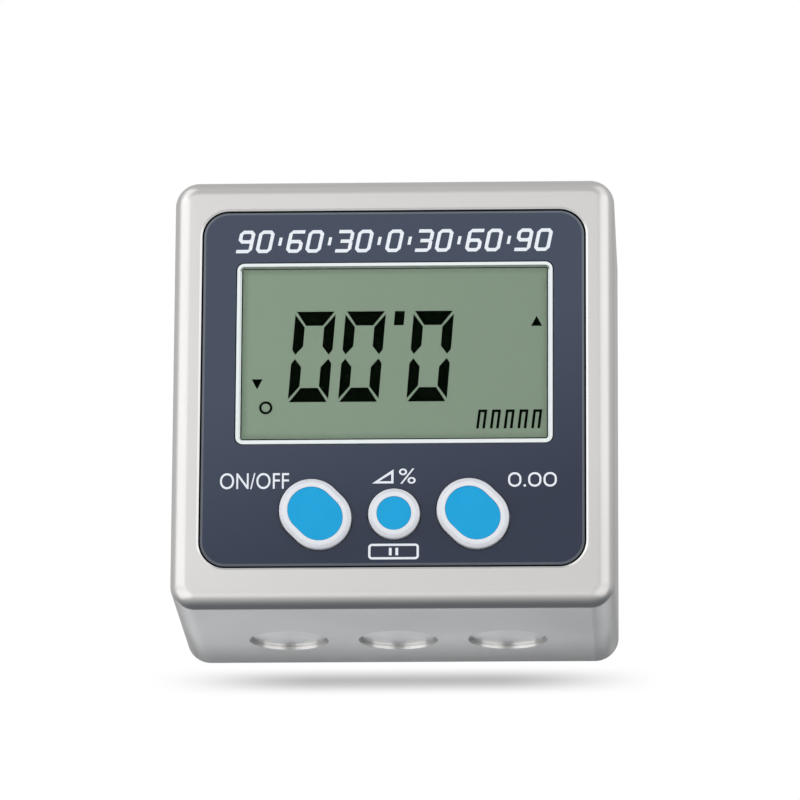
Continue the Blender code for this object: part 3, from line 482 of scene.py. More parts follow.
def blue_plastic():
    """The keys' inlays."""
    return clouded(
        "blue_plastic_finish", (0.012, 0.38, 0.74), (0.014, 0.395, 0.76), 0.5, 400,
        specular=0.12, bump=(6000, 0.004, 0.3))


def print_white():
    return clouded(
        "print_white_finish", (0.87, 0.91, 0.97), (0.82, 0.87, 0.94), 0.5, 3500, specular=0.3)


def panel_plastic():
    """Slate blue panel with a fine grain, and painted shade that darkens it a little towards its
    foot and its right side.
    """
    finish = Finish("panel_plastic_finish", (0.0155, 0.0245, 0.0525), 0.42, specular=0.4)
    # Painted shade: the panel turns darker towards its foot and its right side.
    rise = finish.ranged(finish.along_way(PANEL_PAINTED_SHADE_WAY), *PANEL_PAINTED_SHADE)
    finish.vary_colour(rise, (0.041, 0.0568, 0.0955))
    finish.bump(finish.noise(9000, 3.0), 0.004 * MM, 0.3)
    return finish.material


def panel_edge():
    """The panel's cut edge, which is paler and glossier than its face, with painted shade that
    darkens it towards its foot.
    """
    finish = Finish("panel_edge_finish", (0.082, 0.096, 0.118), 0.3)
    # Painted shade: the edge turns darker towards the panel's foot.
    rise = finish.ranged(finish.along("Z"), PANEL_LOW.z, WINDOW_HIGH.z)
    finish.vary_colour(rise, (0.12, 0.138, 0.168))
    return finish.material


def white_plastic():
    """White moulding, shaded where its rim steps down to the film's upper edge."""
    finish = Finish("white_plastic_finish", (0.84, 0.90, 0.90), 0.4)
    finish.vary_colour(finish.ranged(finish.noise(250), 0.3, 0.7), (0.86, 0.92, 0.92))
    start, end = RIM_SHADE
    deep = finish.ranged(finish.along("Y"), PANEL_FRONT + start, PANEL_FRONT + end)
    below = finish.ranged(finish.along("Z"), WINDOW_HIGH.z + end, WINDOW_HIGH.z + start)
    above = finish.ranged(finish.along("Z"), WINDOW_HIGH.z - 2 * end, WINDOW_HIGH.z - end)
    finish.vary_colour(finish.times(deep, below, above), (0.25, 0.30, 0.26))
    finish.bump(finish.noise(4000), 0.003 * MM, 0.2)
    return finish.material


def clear_lens():
    """Thin clear sheet that lets the display through and keeps a faint gloss."""
    finish = Finish("clear_lens_finish", (0.02, 0.02, 0.02), 0.08)
    finish.inputs["Alpha"].default_value = 0.009
    finish.vary_roughness(finish.noise(300), 0.02)
    return finish.material


def display_film():
    """Grey-green reflector with a very fine sparkle, and painted shade along its edges and towards
    its right side.
    """
    finish = Finish("display_film_finish", (0.255, 0.345, 0.251), 0.6, specular=0.25)
    low, high = box_of("display_face")
    fine = finish.noise(14000, 2.0)
    finish.vary_colour(finish.ranged(fine, 0.25, 0.75), shade(finish.colour, 0.94))
    # Painted shade: the film darkens towards its right side and close to its edges.
    film_shades = [finish.ranged(finish.along("X"), low.x, high.x, 1.0, FILM_RIGHT_SHADE)]
    for axis, start, end in (("X", low.x, high.x), ("Z", low.z, high.z)):
        film_shades.append(finish.ranged(finish.along(axis), start, start + FILM_EDGE_SHADE))
        film_shades.append(finish.ranged(finish.along(axis), end, end - FILM_EDGE_SHADE))
    rim = (*shade(finish.colour, FILM_RIM_SHADE), 1.0)
    finish.drive("Base Color", finish.mixed(finish.times(*film_shades), rim, finish.found))
    finish.bump(fine, 0.002 * MM, 0.2)
    return finish.material


def dark_mark():
    finish = Finish("dark_mark_finish", (0.001, 0.003, 0.001), 0.6, specular=0.0)
    finish.vary_roughness(finish.noise(900), 0.05)
    return finish.material


def key_plastic():
    """Pale silver lacquer."""
    finish = Finish("key_plastic_finish", (0.74, 0.755, 0.80), 0.3, 0.2)
    finish.vary_colour(finish.ranged(finish.noise(2500, 4.0), 0.2, 0.8), (0.66, 0.68, 0.73))
    finish.bump(finish.noise(5000), 0.003 * MM, 0.2)
    return finish.material


def lip_highlight():
    """The narrow lip that is left round each key's inlay, made paler than the key as a painted
    highlight.
    """
    finish = Finish("lip_highlight_finish", (0.83, 0.86, 0.90), 0.3)
    finish.vary_colour(finish.ranged(finish.noise(2500), 0.2, 0.8), (0.79, 0.82, 0.87))
    return finish.material


def magnet_plating():
    """Smooth nickel plate."""
    finish = Finish("magnet_plating_finish", (0.79, 0.785, 0.775), 0.31, 1.0)
    clouds = finish.noise(300, 2.0)
    finish.vary_roughness(clouds, 0.01)
    finish.vary_colour(finish.ranged(clouds, 0.2, 0.8), shade(finish.colour, 0.97))
    return finish.material


def cover_plastic():
    """Dark grey moulding with a spark-eroded grain."""
    finish = Finish("cover_plastic_finish", (0.045, 0.050, 0.060), 0.6, specular=0.4)
    cells = finish.node("ShaderNodeTexVoronoi", {"Scale": 2600, "Vector": finish.place})
    finish.vary_colour(finish.ranged(finish.noise(120), 0.3, 0.7), (0.052, 0.057, 0.067))
    finish.vary_roughness(finish.noise(1500), 0.06)
    finish.bump(cells.outputs["Distance"], 0.03 * MM, 0.8)
    return finish.material


def black_plastic():
    finish = Finish("black_plastic_finish", (0.02, 0.02, 0.021), 0.5)
    finish.bump(finish.noise(3000), 0.01 * MM, 0.4)
    return finish.material


def screw_steel():
    """Zinc plate, with turning marks."""
    finish = Finish("screw_steel_finish", (0.58, 0.58, 0.57), 0.37, 1.0)
    finish.vary_colour(finish.ranged(finish.noise(900, 4.0), 0.3, 0.7), (0.42, 0.42, 0.41))
    finish.vary_roughness(finish.noise(2500), 0.06)
    return finish.material


def contact_steel():
    finish = Finish("contact_steel_finish", (0.72, 0.70, 0.64), 0.36, 1.0)
    finish.vary_roughness(finish.noise(1200), 0.04)
    finish.vary_colour(finish.ranged(finish.noise(500), 0.3, 0.7), (0.64, 0.62, 0.56))
    return finish.material


def board_laminate():
    finish = Finish("board_laminate_finish", (0.015, 0.13, 0.055), 0.35)
    finish.vary_colour(finish.ranged(finish.noise(500, 1.0), 0.45, 0.5), (0.02, 0.17, 0.075))
    finish.bump(finish.noise(1500), 0.01 * MM, 0.3)
    return finish.material


def strip_rubber():
    """Rubber with fine layers across its length."""
    finish = Finish("strip_rubber_finish", (0.33, 0.31, 0.28), 0.8)
    layers = finish.noise(2500, 1.0, (8, 0.1, 0.1))
    finish.vary_colour(finish.ranged(layers, 0.45, 0.55), (0.03, 0.03, 0.03))
    return finish.material


def insulation(name, colour):
    return clouded(name, colour, shade(colour, 0.8), 0.45, 800, bump=(2000, 0.01, 0.3))


def cell_jacket():
    """Printed jacket with a paler band, between bare ends."""
    low, high = box_of("battery_upper")
    length = high.x - low.x
    finish = Finish("cell_jacket_finish", (0.62, 0.62, 0.60), 0.3, 1.0)
    reach = finish.maths("ABSOLUTE", finish.along("X"))
    bare_end = length / 2 - CELL_BARE
    bare = finish.ranged(reach, bare_end, bare_end + CELL_BLEND)
    band = finish.ranged(reach, length / 4, length / 4 + CELL_BLEND)
    finish.found = finish.mixed(band, (0.035, 0.045, 0.06, 1.0), (0.30, 0.33, 0.36, 1.0))
    finish.vary_colour(bare, finish.colour)
    finish.drive("Metallic", finish.ranged(bare, 0, 1, 0.35, 1.0))
    finish.bump(finish.noise(1500), 0.004 * MM, 0.3)
    return finish.material


FINISHES = {
    "satin_metal": satin_metal(),
    "magnet_plating": magnet_plating(),
    "panel_plastic": panel_plastic(),
    "white_plastic": white_plastic(),
    "clear_lens": clear_lens(),
    "display_film": display_film(),
    "display_glass": dark_mark(),
    "strip_rubber": strip_rubber(),
    "key_plastic": key_plastic(),
    "blue_plastic": blue_plastic(),
    "cover_plastic": cover_plastic(),
    "black_plastic": black_plastic(),
    "screw_steel": screw_steel(),
    "contact_steel": contact_steel(),
    "board_laminate": board_laminate(),
    "cell_jacket": cell_jacket(),
    "red_insulation": insulation("red_insulation_finish", (0.50, 0.025, 0.02)),
    "black_insulation": insulation("black_insulation_finish", (0.02, 0.02, 0.02)),
}
PRINT_FINISH = print_white()
PANEL_EDGE_FINISH = panel_edge()
LIP_HIGHLIGHT_FINISH = lip_highlight()
BORED_FINISH = bored_metal()
LIP_FINISH = lip_metal()
INNER_SHADE_FINISH = inner_painted_shade()


def dress_nodes():
    """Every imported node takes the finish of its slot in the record."""
    for part in frame["record"]["subparts"]:
        node = frame["nodes"][part["node"]]
        finish = FINISHES[part["material_slot"]]
        for slot in node.material_slots:
            slot.material = finish
        keep_flats_flat(node)


def settle(piece, slot, body, finish=None, node=None):
    """Gives a new piece its finish and body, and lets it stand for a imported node."""
    piece.data.materials.clear()
    piece.data.materials.append(finish or FINISHES[slot])
    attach(piece, body)
    if node:
        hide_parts(node)


def refinish(piece, finish, chosen):
    """Gives the faces that are chosen by centre and normal another finish."""
    piece.data.materials.append(finish)
    last = len(piece.data.materials) - 1
    for face in piece.data.polygons:
        if chosen(face.center, face.normal):
            face.material_index = last


# Housing

def within_panel(centre, reach):
    """Whether a point lies within the panel's sides, grown by reach."""
    return (PANEL_LOW.x - reach < centre.x < PANEL_HIGH.x + reach
            and PANEL_LOW.z - reach < centre.z < PANEL_HIGH.z + reach)


def build_housing():
    """The housing again with finer roundings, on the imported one's sizes."""
    low = (HOUSING_LOW.x, HOUSING_LOW.z)
    high = (HOUSING_HIGH.x, HOUSING_HIGH.z)
    panel_low = (PANEL_LOW.x, PANEL_LOW.z)
    panel_high = (PANEL_HIGH.x, PANEL_HIGH.z)
    cavity_low = (low[0] + WALLS["side"], low[1] + WALLS["base"])
    cavity_high = (high[0] - WALLS["side"], high[1] - WALLS["top"])
    ledge = PANEL_BACK + FIT
    wall_back = ledge + LEDGE_THICKNESS

    def shell(inset, y):
        return rounded_rectangle(low, high, CORNER_RADIUS, -inset), y

    def pocket(grow, y):
        return rounded_rectangle(panel_low, panel_high, PANEL_RADIUS, grow), y

    def cavity(grow, y):
        return rounded_rectangle(cavity_low, cavity_high, INNER_RADIUS, grow), y

    rings = [
        pocket(-LEDGE_WIDTH, ledge), pocket(PANEL_GAP, ledge),
        pocket(PANEL_GAP, FRONT_Y + POCKET_LIP_DEPTH), pocket(PANEL_GAP + POCKET_LIP, FRONT_Y)]
    for depth, inset in rounding(ROUNDING_STEPS):
        rings.append(shell(FRONT_ROUNDING * inset, FRONT_Y + FRONT_ROUNDING * depth))
    rings += [
        shell(0, BACK_Y - BACK_CHAMFER), shell(BACK_CHAMFER, BACK_Y),
        cavity(BACK_CHAMFER, BACK_Y), cavity(0, BACK_Y - BACK_CHAMFER),
        cavity(0, wall_back), pocket(-LEDGE_WIDTH, wall_back)]
    housing = loft("housing_shell", rings, closed=True)
    tools = []
    for side in MAGNET_SIDES:
        magnet_low, magnet_high = box_of(f"base_magnet_{side}")
        centre = (magnet_low + magnet_high) / 2
        radius = (magnet_high.x - magnet_low.x) / 2 + MAGNET_GAP
        hole = circle(radius, ROUND_STEPS)
        tight = circle(radius - MAGNET_GAP + CLOSE_FIT, ROUND_STEPS)
        step = magnet_low.z + MAGNET_STEP
        tools.append(loft(f"hole_{side}", [
            (hole, -PIERCE), (hole, step), (tight, step), (tight, magnet_high.z + FIT)],
            axis="Z", place=(centre.x, centre.y, 0)))
    cut(housing, tools)
    keep_flats_flat(housing)
    settle(housing, "satin_metal", "case", node="housing")
    lip = FRONT_Y + POCKET_LIP_DEPTH
    # Painted shade: the pocket's walls and ledge and the inside take a near black finish.
    refinish(housing, INNER_SHADE_FINISH, lambda centre, normal: (
        centre.y > lip and within_panel(centre, PANEL_GAP + FIT)))
    refinish(housing, LIP_FINISH, lambda centre, normal: (
        centre.y < lip and -SLOPED_FACING < normal.y < -HALF_FACING
        and within_panel(centre, PANEL_GAP + POCKET_LIP)))
    # The walls of the magnets' holes take the bored finish, with its painted shade.
    refinish(housing, BORED_FINISH, lambda centre, normal: (
        centre.z < cavity_low[1] - FIT and abs(normal.z) < HALF_FACING
        and abs(centre.x) < (high[0] - low[0]) / 2 - CORNER_RADIUS
        and FRONT_Y + CORNER_RADIUS < centre.y < BACK_Y - CORNER_RADIUS))


def build_magnets():
    for side in MAGNET_SIDES:
        low, high = box_of(f"base_magnet_{side}")
        middle = (low + high) / 2
        full = circle((high.x - low.x) / 2, ROUND_STEPS)
        eased = circle((high.x - low.x) / 2 - MAGNET_EDGE, ROUND_STEPS)
        magnet = loft(f"magnet_disc_{side}", [
            (eased, low.z), (full, low.z + MAGNET_EDGE), (full, high.z - MAGNET_EDGE),
            (eased, high.z)], axis="Z", place=(middle.x, middle.y, 0))
        keep_flats_flat(magnet)
        settle(magnet, "magnet_plating", "case", node=f"base_magnet_{side}")


# Panel and its keys

# Each key, and how far its round form is drawn out sideways
KEYS = (("power", KEY_DRAW), ("hold", 0.0), ("zero", KEY_DRAW))


def key_shape(name, draw):
    """The key's middle, its outline's radius and stretch before the flange, and its front."""
    low, high = box_of(f"{name}_key")
    middle = (low + high) / 2
    radius = (high.x - low.x) / 2 - KEY_RIM - draw / 2
    return middle, radius, math.hypot(draw, draw), low.y


def build_panel():
    low = (PANEL_LOW.x, PANEL_LOW.z)
    high = (PANEL_HIGH.x, PANEL_HIGH.z)

    def ring(inset, y):
        return rounded_rectangle(low, high, PANEL_RADIUS, -inset), y

    panel = loft("panel_plate", [
        ring(PANEL_EDGE, PANEL_FRONT), ring(0, PANEL_FRONT + PANEL_EDGE_DEPTH),
        ring(0, PANEL_BACK)])
    rim_low, rim_high = window_rim()
    window = rounded_rectangle(rim_low, rim_high, WINDOW_RADIUS, FIT)
    ends = PANEL_FRONT - PIERCE, PANEL_BACK + PIERCE
    tools = [loft("window_hole", [(window, ends[0]), (window, ends[1])])]
    for name, draw in KEYS:
        middle, radius, stretch, _ = key_shape(name, draw)
        hole = key_outline(radius, stretch, FIT)
        tools.append(loft(f"{name}_hole", [(hole, ends[0]), (hole, ends[1])],
                          place=(middle.x, 0, middle.z)))
    cut(panel, tools)
    keep_flats_flat(panel)
    settle(panel, "panel_plastic", "case", node="front_panel")
    refinish(panel, PANEL_EDGE_FINISH, lambda centre, normal: (
        UPRIGHT_FACING < abs(normal.y) < SLOPED_FACING))


def window_rim():
    """The outer corners of the white rim round the window, from the lens inside it."""
    seat = RIM_SEAT + FIT / 2
    low = (WINDOW_LOW.x - seat, WINDOW_LOW.z - seat)
    high = (WINDOW_HIGH.x + seat, WINDOW_HIGH.z + seat)
    return low, high


def build_key(name, draw):
    middle, radius, stretch, top = key_shape(name, draw)
    inlay_low, inlay_high = box_of(f"{name}_key_inlay")
    back = box_of(f"{name}_key")[1].y
    flange = back - KEY_FLANGE
    pocket = KEY_ROUNDING + KEY_LIP

    def ring(inset, y):
        return key_outline(radius, stretch, -inset), y

    rings = [ring(pocket, inlay_high.y + CLOSE_FIT), ring(pocket, top)]
    for depth, inset in rounding(SHOULDER_STEPS):
        rings.append(ring(KEY_ROUNDING * inset, top + KEY_ROUNDING_DEPTH * depth))
    rings += [ring(0, flange), ring(-KEY_RIM, flange), ring(-KEY_RIM, back)]
    cap = loft(f"{name}_key_cap", rings, place=(middle.x, 0, middle.z))
    keep_flats_flat(cap)
    settle(cap, "key_plastic", f"{name}_button", node=f"{name}_key")
    # Painted highlight: the lip round the inlay takes a paler finish.
    refinish(cap, LIP_HIGHLIGHT_FINISH, lambda centre, normal: (
        centre.y < top + KEY_ROUNDING_DEPTH / 2 and normal.y < -FLAT_FACING))

    edge = pocket + CLOSE_FIT
    face = loft(f"{name}_key_face", [
        ring(edge + INLAY_EDGE, inlay_low.y), ring(edge, inlay_low.y + INLAY_EDGE),
        ring(edge, inlay_high.y)], place=(middle.x, 0, middle.z))
    keep_flats_flat(face)
    settle(face, "blue_plastic", f"{name}_button", node=f"{name}_key_inlay")


# Printing

def raised(name, bm):
    """Thickens flat printing back to the panel, and settles it there."""
    made = bmesh.ops.extrude_face_region(bm, geom=bm.faces[:])
    moved = [item for item in made["geom"] if isinstance(item, bmesh.types.BMVert)]
    bmesh.ops.translate(bm, verts=moved, vec=(0, PRINT_THICKNESS, 0))
    settle(add_mesh(name, bm), "white_plastic", "case", PRINT_FINISH)


def lettered(name, body, place):
    """Raised flat lettering that fills a place given as left, right, bottom and top."""
    curve = bpy.data.curves.new(name, "FONT")
    curve.body = body
    curve.resolution_u = LETTER_STEPS
    text = add_object(name, curve)
    graph = bpy.context.evaluated_depsgraph_get()
    mesh = bpy.data.meshes.new_from_object(text.evaluated_get(graph))
    bpy.data.objects.remove(text)
    bm = bmesh.new()
    bm.from_mesh(mesh)
    bpy.data.meshes.remove(mesh)
    bmesh.ops.remove_doubles(bm, verts=bm.verts, dist=LETTER_MERGE)
    across = [vert.co.x for vert in bm.verts]
    upwards = [vert.co.y for vert in bm.verts]
    left, right, bottom, top = place
    wide = (right - left) / (max(across) - min(across))
    tall = (top - bottom) / (max(upwards) - min(upwards))
    for vert in bm.verts:
        vert.co = Vector((left + (vert.co.x - min(across)) * wide, PANEL_FRONT - PRINT_THICKNESS,
                          bottom + (vert.co.y - min(upwards)) * tall))
    raised(name, bm)


def leant(points, left, bottom, slant):
    """Points of a sign, leant over from its foot and moved to its lower left corner."""
    return [(left + x + slant * z, bottom + z) for x, z in points]


def digit_lines(digit):
    """A squared digit with cut corners: its outline, and the holes in it."""
    wide, tall, line, corner = DIGIT_WIDTH, DIGIT_HEIGHT, DIGIT_STROKE, DIGIT_CORNER
    middle = tall / 2
    nook = corner / 3
    if digit == "0":
        outline = cut_rectangle(0, wide, 0, tall, corner)
        return outline, [cut_rectangle(line, wide - line, line, tall - line, nook)]
    if digit == "3":
        arm = wide * DIGIT_ARM
        return [
            (0, tall), (wide - corner, tall), (wide, tall - corner), (wide, middle + nook),
            (wide - nook, middle), (wide, middle - nook), (wide, corner), (wide - corner, 0),
            (0, 0), (0, line), (wide - line, line), (wide - line, middle - line / 2),
            (arm, middle - line / 2), (arm, middle + line / 2), (wide - line, middle + line / 2),
            (wide - line, tall - line), (0, tall - line)], []
    six = [
        (corner, tall), (wide, tall), (wide, tall - line), (line, tall - line),
        (line, middle + line / 2), (wide - corner, middle + line / 2),
        (wide, middle + line / 2 - corner), (wide, corner), (wide - corner, 0), (corner, 0),
        (0, corner), (0, tall - corner)]
    hole = cut_rectangle(line, wide - line, line, middle - line / 2, nook)
    if digit == "6":
        return six, [hole]
    return turned(six), [turned(hole)]


def cut_rectangle(left, right, bottom, top, corner):
    return [
        (left + corner, bottom), (right - corner, bottom), (right, bottom + corner),
        (right, top - corner), (right - corner, top), (left + corner, top),
        (left, top - corner), (left, bottom + corner)]


def turned(points):
    """A digit's points after half a turn, which makes a nine of a six."""
    return [(DIGIT_WIDTH - x, DIGIT_HEIGHT - z) for x, z in points]


def printed(name, shapes):
    """Flat raised printing from pairs of an outline and the holes in it."""
    bm = bmesh.new()
    for outline, holes in shapes:
        edges = []
        for loop in [outline, *holes]:
            points = [bm.verts.new((x, PANEL_FRONT - PRINT_THICKNESS, z)) for x, z in loop]
            edges += [bm.edges.new((points[i - 1], points[i])) for i in range(len(points))]
        bmesh.ops.triangle_fill(bm, use_beauty=True, edges=edges, normal=(0, -1, 0))
    raised(name, bm)


def slanted_bar(left, bottom, width, height, slant):
    lean = slant * height
    return [(left, bottom), (left + width, bottom), (left + width + lean, bottom + height),
            (left + lean, bottom + height)]


def print_scale():
    """A plain degree scale above the window: slanted numbers with short ticks between them."""
    widths = [len(number) * (DIGIT_WIDTH + DIGIT_GAP) - DIGIT_GAP for number in SCALE_NUMBERS]
    room = SCALE_RIGHT - SCALE_LEFT - SCALE_SLANT * DIGIT_HEIGHT - sum(widths)
    space = room / (len(SCALE_NUMBERS) - 1)
    left = SCALE_LEFT
    shapes = []
    for number, width in zip(SCALE_NUMBERS, widths):
        if shapes:
            rise = (DIGIT_HEIGHT - TICK_HEIGHT) / 2
            tick = left - space / 2 - TICK_WIDTH / 2 + SCALE_SLANT * rise
            shapes.append((slanted_bar(tick, SCALE_BASE + rise, TICK_WIDTH, TICK_HEIGHT,
                                       SCALE_SLANT), []))
        for index, digit in enumerate(number):
            place = left + index * (DIGIT_WIDTH + DIGIT_GAP), SCALE_BASE, SCALE_SLANT
            outline, holes = digit_lines(digit)
            shapes.append((leant(outline, *place), [leant(hole, *place) for hole in holes]))
        left += width + space
    printed("scale", shapes)


def zero_shapes():
    """The number 0.00 from three rounded rectangles and a dot."""
    left, right, bottom, top = ZERO_LABEL
    wide = (right - left - 2 * ZERO_DOT - 3 * ZERO_LINE) / 3
    pitch = wide + ZERO_LINE
    after_dot = left + pitch + 2 * ZERO_DOT + ZERO_LINE
    shapes = [(circle(ZERO_DOT, SCREW_STEPS, (left + pitch + ZERO_DOT, bottom + ZERO_DOT)), [])]
    for start in (left, after_dot, after_dot + pitch):
        ends = (start, bottom), (start + wide, top)
        shapes.append((rounded_rectangle(*ends, ZERO_ROUND * wide),
                       [rounded_rectangle(*ends, ZERO_ROUND * wide, -ZERO_LINE)]))
    return shapes


def slope_shapes():
    left, right, bottom, top = SLOPE
    slant = (right - left) / (top - bottom)
    mitre = SLOPE_MITRE * LINE
    inner = [
        (right - LINE, bottom + LINE), (right - LINE, top - (1 + 1 / slant) * mitre),
        (left + (1 + slant) * mitre, bottom + LINE)]
    return [([(left, bottom), (right, bottom), (right, top)], [inner])]


def pause_shapes():
    half = PAUSE_FRAME[0] / 2, PAUSE_FRAME[1] / 2
    low = (PAUSE_PLACE[0] - half[0], PAUSE_PLACE[1] - half[1])
    high = (PAUSE_PLACE[0] + half[0], PAUSE_PLACE[1] + half[1])
    shapes = [(rounded_rectangle(low, high, PAUSE_RADIUS),
               [rounded_rectangle(low, high, PAUSE_RADIUS, -LINE)])]
    for side in (-1, 1):
        left = PAUSE_PLACE[0] + side * PAUSE_SPREAD / 2 - PAUSE_BAR[0] / 2
        bottom = PAUSE_PLACE[1] - PAUSE_BAR[1] / 2
        shapes.append((slanted_bar(left, bottom, *PAUSE_BAR, 0), []))
    return shapes


def print_labels():
    for name, body, place in LABELS:
        lettered(name, body, [edge * MM for edge in place])
    printed("zero_label", zero_shapes())
    printed("slope_sign", slope_shapes())
    printed("pause_sign", pause_shapes())


def mark_display():
    """The small ring and the row of bars on the display's film."""
    film = box_of("display_face")[0].y - MARK_LIFT
    front = film - MARK_THICKNESS
    ring = loft("degree_ring", [
        (circle(DEGREE_RADIUS, SCREW_STEPS), front), (circle(DEGREE_RADIUS, SCREW_STEPS), film),
        (circle(DEGREE_RADIUS - DEGREE_LINE, SCREW_STEPS), film),
        (circle(DEGREE_RADIUS - DEGREE_LINE, SCREW_STEPS), front)], closed=True,
        place=(DEGREE_PLACE[0], 0, DEGREE_PLACE[1]))
    settle(ring, "display_glass", "case")
    bm = bmesh.new()
    for index in range(BARS_COUNT):
        left = BARS_LEFT + index * BARS_PITCH
        lines = (
            (left, BARS_BASE, BAR_LINE, BAR_HEIGHT),
            (left + BAR_WIDTH - BAR_LINE, BARS_BASE, BAR_LINE, BAR_HEIGHT),
            (left, BARS_BASE + BAR_HEIGHT, BAR_WIDTH, BAR_LINE))
        for x, z, width, height in lines:
            x += BARS_SLANT * (z - BARS_BASE)
            prism(bm, slanted_bar(x, z, width, height, BARS_SLANT), front, film)
    settle(add_mesh("level_bars", bm), "display_glass", "case")


# Screws of the rear cover

def build_cover_screws():
    """Screws with an eased head and a cross recess."""
    length, width, depth = SCREW_RECESS
    for corner in ("lower_left", "lower_right", "upper_left", "upper_right"):
        node = f"cover_screw_{corner}"
        low, high = box_of(node)
        middle = (low + high) / 2
        place = (middle.x, 0, middle.z)
        radius = (high.x - low.x) / 2
        profile = (
            (radius - SCREW_CHAMFER, 0), (radius - SCREW_CHAMFER / 3, SCREW_CHAMFER / 3),
            (radius, SCREW_CHAMFER), (radius, SCREW_HEAD), (SCREW_SHANK, SCREW_HEAD),
            (SCREW_SHANK, high.y - low.y))
        screw = loft(f"{node}_detail", [
            (circle(size, SCREW_STEPS), high.y - drop) for size, drop in profile], place=place)
        tools = []
        for across, up in ((length, width), (width, length)):
            bar = slanted_bar(-across / 2, -up / 2, across, up, 0)
            tools.append(loft("recess", [(bar, high.y - depth), (bar, high.y + PIERCE)],
                              place=place))
        cut(screw, tools)
        settle(screw, "screw_steel", "case", node=node)


# Cells and their springs

# Each cell and the way of its nub
CELLS = (("upper", -1), ("lower", 1))
CELL_EDGE = 0.6 * MM
CELL_NUB = (1.0 * MM, 1.9 * MM)
CELL_RIM = (0.35 * MM, 0.25 * MM)
SPRING_WIRE = 0.6 * MM
SPRING_TIP = 4.4 * MM
SPRING_TURNS = 3
SPRING_STEPS = 3


def build_cells():
    """Smooth cells: the upper one has its nub to the left, the lower one to the right."""
    for name, way in CELLS:
        low, high = box_of(f"battery_{name}")
        middle = (low + high) / 2
        radius = (high.z - low.z) / 2
        length = high.x - low.x
        nub_rise, nub_radius = CELL_NUB
        rim, dish = CELL_RIM
        shoulder = length - nub_rise
        core = radius - CELL_EDGE
        profile = [(core - 2 * rim, dish), (core - rim, 0), (core, 0)]
        for depth, inset in rounding(SHOULDER_STEPS)[1:]:
            profile.append((radius - CELL_EDGE * inset, CELL_EDGE * depth))
        for depth, inset in rounding(SHOULDER_STEPS):
            profile.append((radius - CELL_EDGE * depth, shoulder - CELL_EDGE * inset))
        profile += [
            (nub_radius + rim, shoulder), (nub_radius, shoulder + dish),
            (nub_radius, length - dish), (nub_radius - dish, length)]
        rings = [(circle(size, ROUND_STEPS), way * (level - length / 2)) for size, level in profile]
        cell = loft(f"cell_{name}", rings, axis="X", place=middle)
        keep_flats_flat(cell)
        settle(cell, "cell_jacket", "case", node=f"battery_{name}")


def build_springs():
    """A smooth conical coil that narrows towards each cell's flat end."""
    for name, way in CELLS:
        low, high = box_of(f"battery_spring_{name}")
        middle = (low + high) / 2
        base = (high.z - low.z - SPRING_WIRE) / 2
        tip = (SPRING_TIP - SPRING_WIRE) / 2
        length = high.x - low.x - SPRING_WIRE
        curve = bpy.data.curves.new(f"cell_spring_{name}", "CURVE")
        curve.dimensions = "3D"
        curve.bevel_depth = SPRING_WIRE / 2
        curve.bevel_resolution = SPRING_STEPS
        curve.use_fill_caps = True
        spline = curve.splines.new("POLY")
        steps = SPRING_TURNS * KEY_STEPS
        spline.points.add(steps)
        for step, point in enumerate(spline.points):
            share = step / steps
            angle = math.tau * SPRING_TURNS * share
            radius = base + (tip - base) * share
            point.co = (way * (share - 0.5) * length, radius * math.cos(angle),
                        radius * math.sin(angle), 1.0)
        coil = add_object(f"cell_spring_{name}", curve)
        coil.location = middle
        settle(coil, "contact_steel", "case", node=f"battery_spring_{name}")


# Floor, light and camera

def stage_material(name):
    made = bpy.data.materials.new(name)
    made.use_nodes = True
    made.node_tree.nodes.clear()
    return made, Graph(made.node_tree)


FLOOR_DROP = 0.1 * MM
FLOOR_HALF = 6.0
FLOOR_COLOUR = (0.86, 0.86, 0.86)
CONTACT_REACH = 30 * MM


def stage_plane(name, low, high, level, material):
    """A level sheet that faces up, between two corners in X and Y."""
    mesh = bpy.data.meshes.new(name)
    corners = ((low[0], low[1]), (high[0], low[1]), (high[0], high[1]), (low[0], high[1]))
    mesh.from_pydata([(x, y, level) for x, y in corners], [], [(0, 1, 2, 3)])
    mesh.materials.append(material)
    made = add_object(name, mesh)


def build_floor():
    """A pale floor that is seen from above only, so that the base shows from below it.

    Lamps below it reach the base, and gloss close to it sees the backdrop, not the contact shade.
    """
    material, graph = stage_material("floor")
    pale = graph.node("ShaderNodeBsdfDiffuse", {"Color": (*FLOOR_COLOUR, 1.0)})
    clear = graph.node("ShaderNodeBsdfTransparent")
    path = graph.node("ShaderNodeLightPath").outputs
    below = graph.node("ShaderNodeNewGeometry").outputs["Backfacing"]
    near = graph.maths("LESS_THAN", path["Ray Length"], CONTACT_REACH)
    near_gloss = graph.times(near, path["Is Glossy Ray"])
    open_to = graph.maths("MAXIMUM", below, path["Is Shadow Ray"])
    graph.show(graph.maths("MAXIMUM", open_to, near_gloss), pale, clear)
    corner = (FLOOR_HALF, FLOOR_HALF)
    stage_plane("floor", (-FLOOR_HALF, -FLOOR_HALF), corner, -FLOOR_DROP, material)


# Places in mm, depth as a share of black, and level as a share of the floor's drop
SHADES = {
    "soft_shadow": {"front": 18.5, "middle": 27.0, "back": 36.5, "half": 36.0, "fade": 25.0,
                    "depth": 0.5, "level": -0.4, "ray": "Is Camera Ray", "below": 1.0},
    "base_shade": {"front": 2.0, "middle": 19.0, "back": 40.0, "half": 40.0, "fade": 8.0,
                   "depth": 0.54, "level": -0.8, "ray": "Is Glossy Ray", "below": 0.0}}


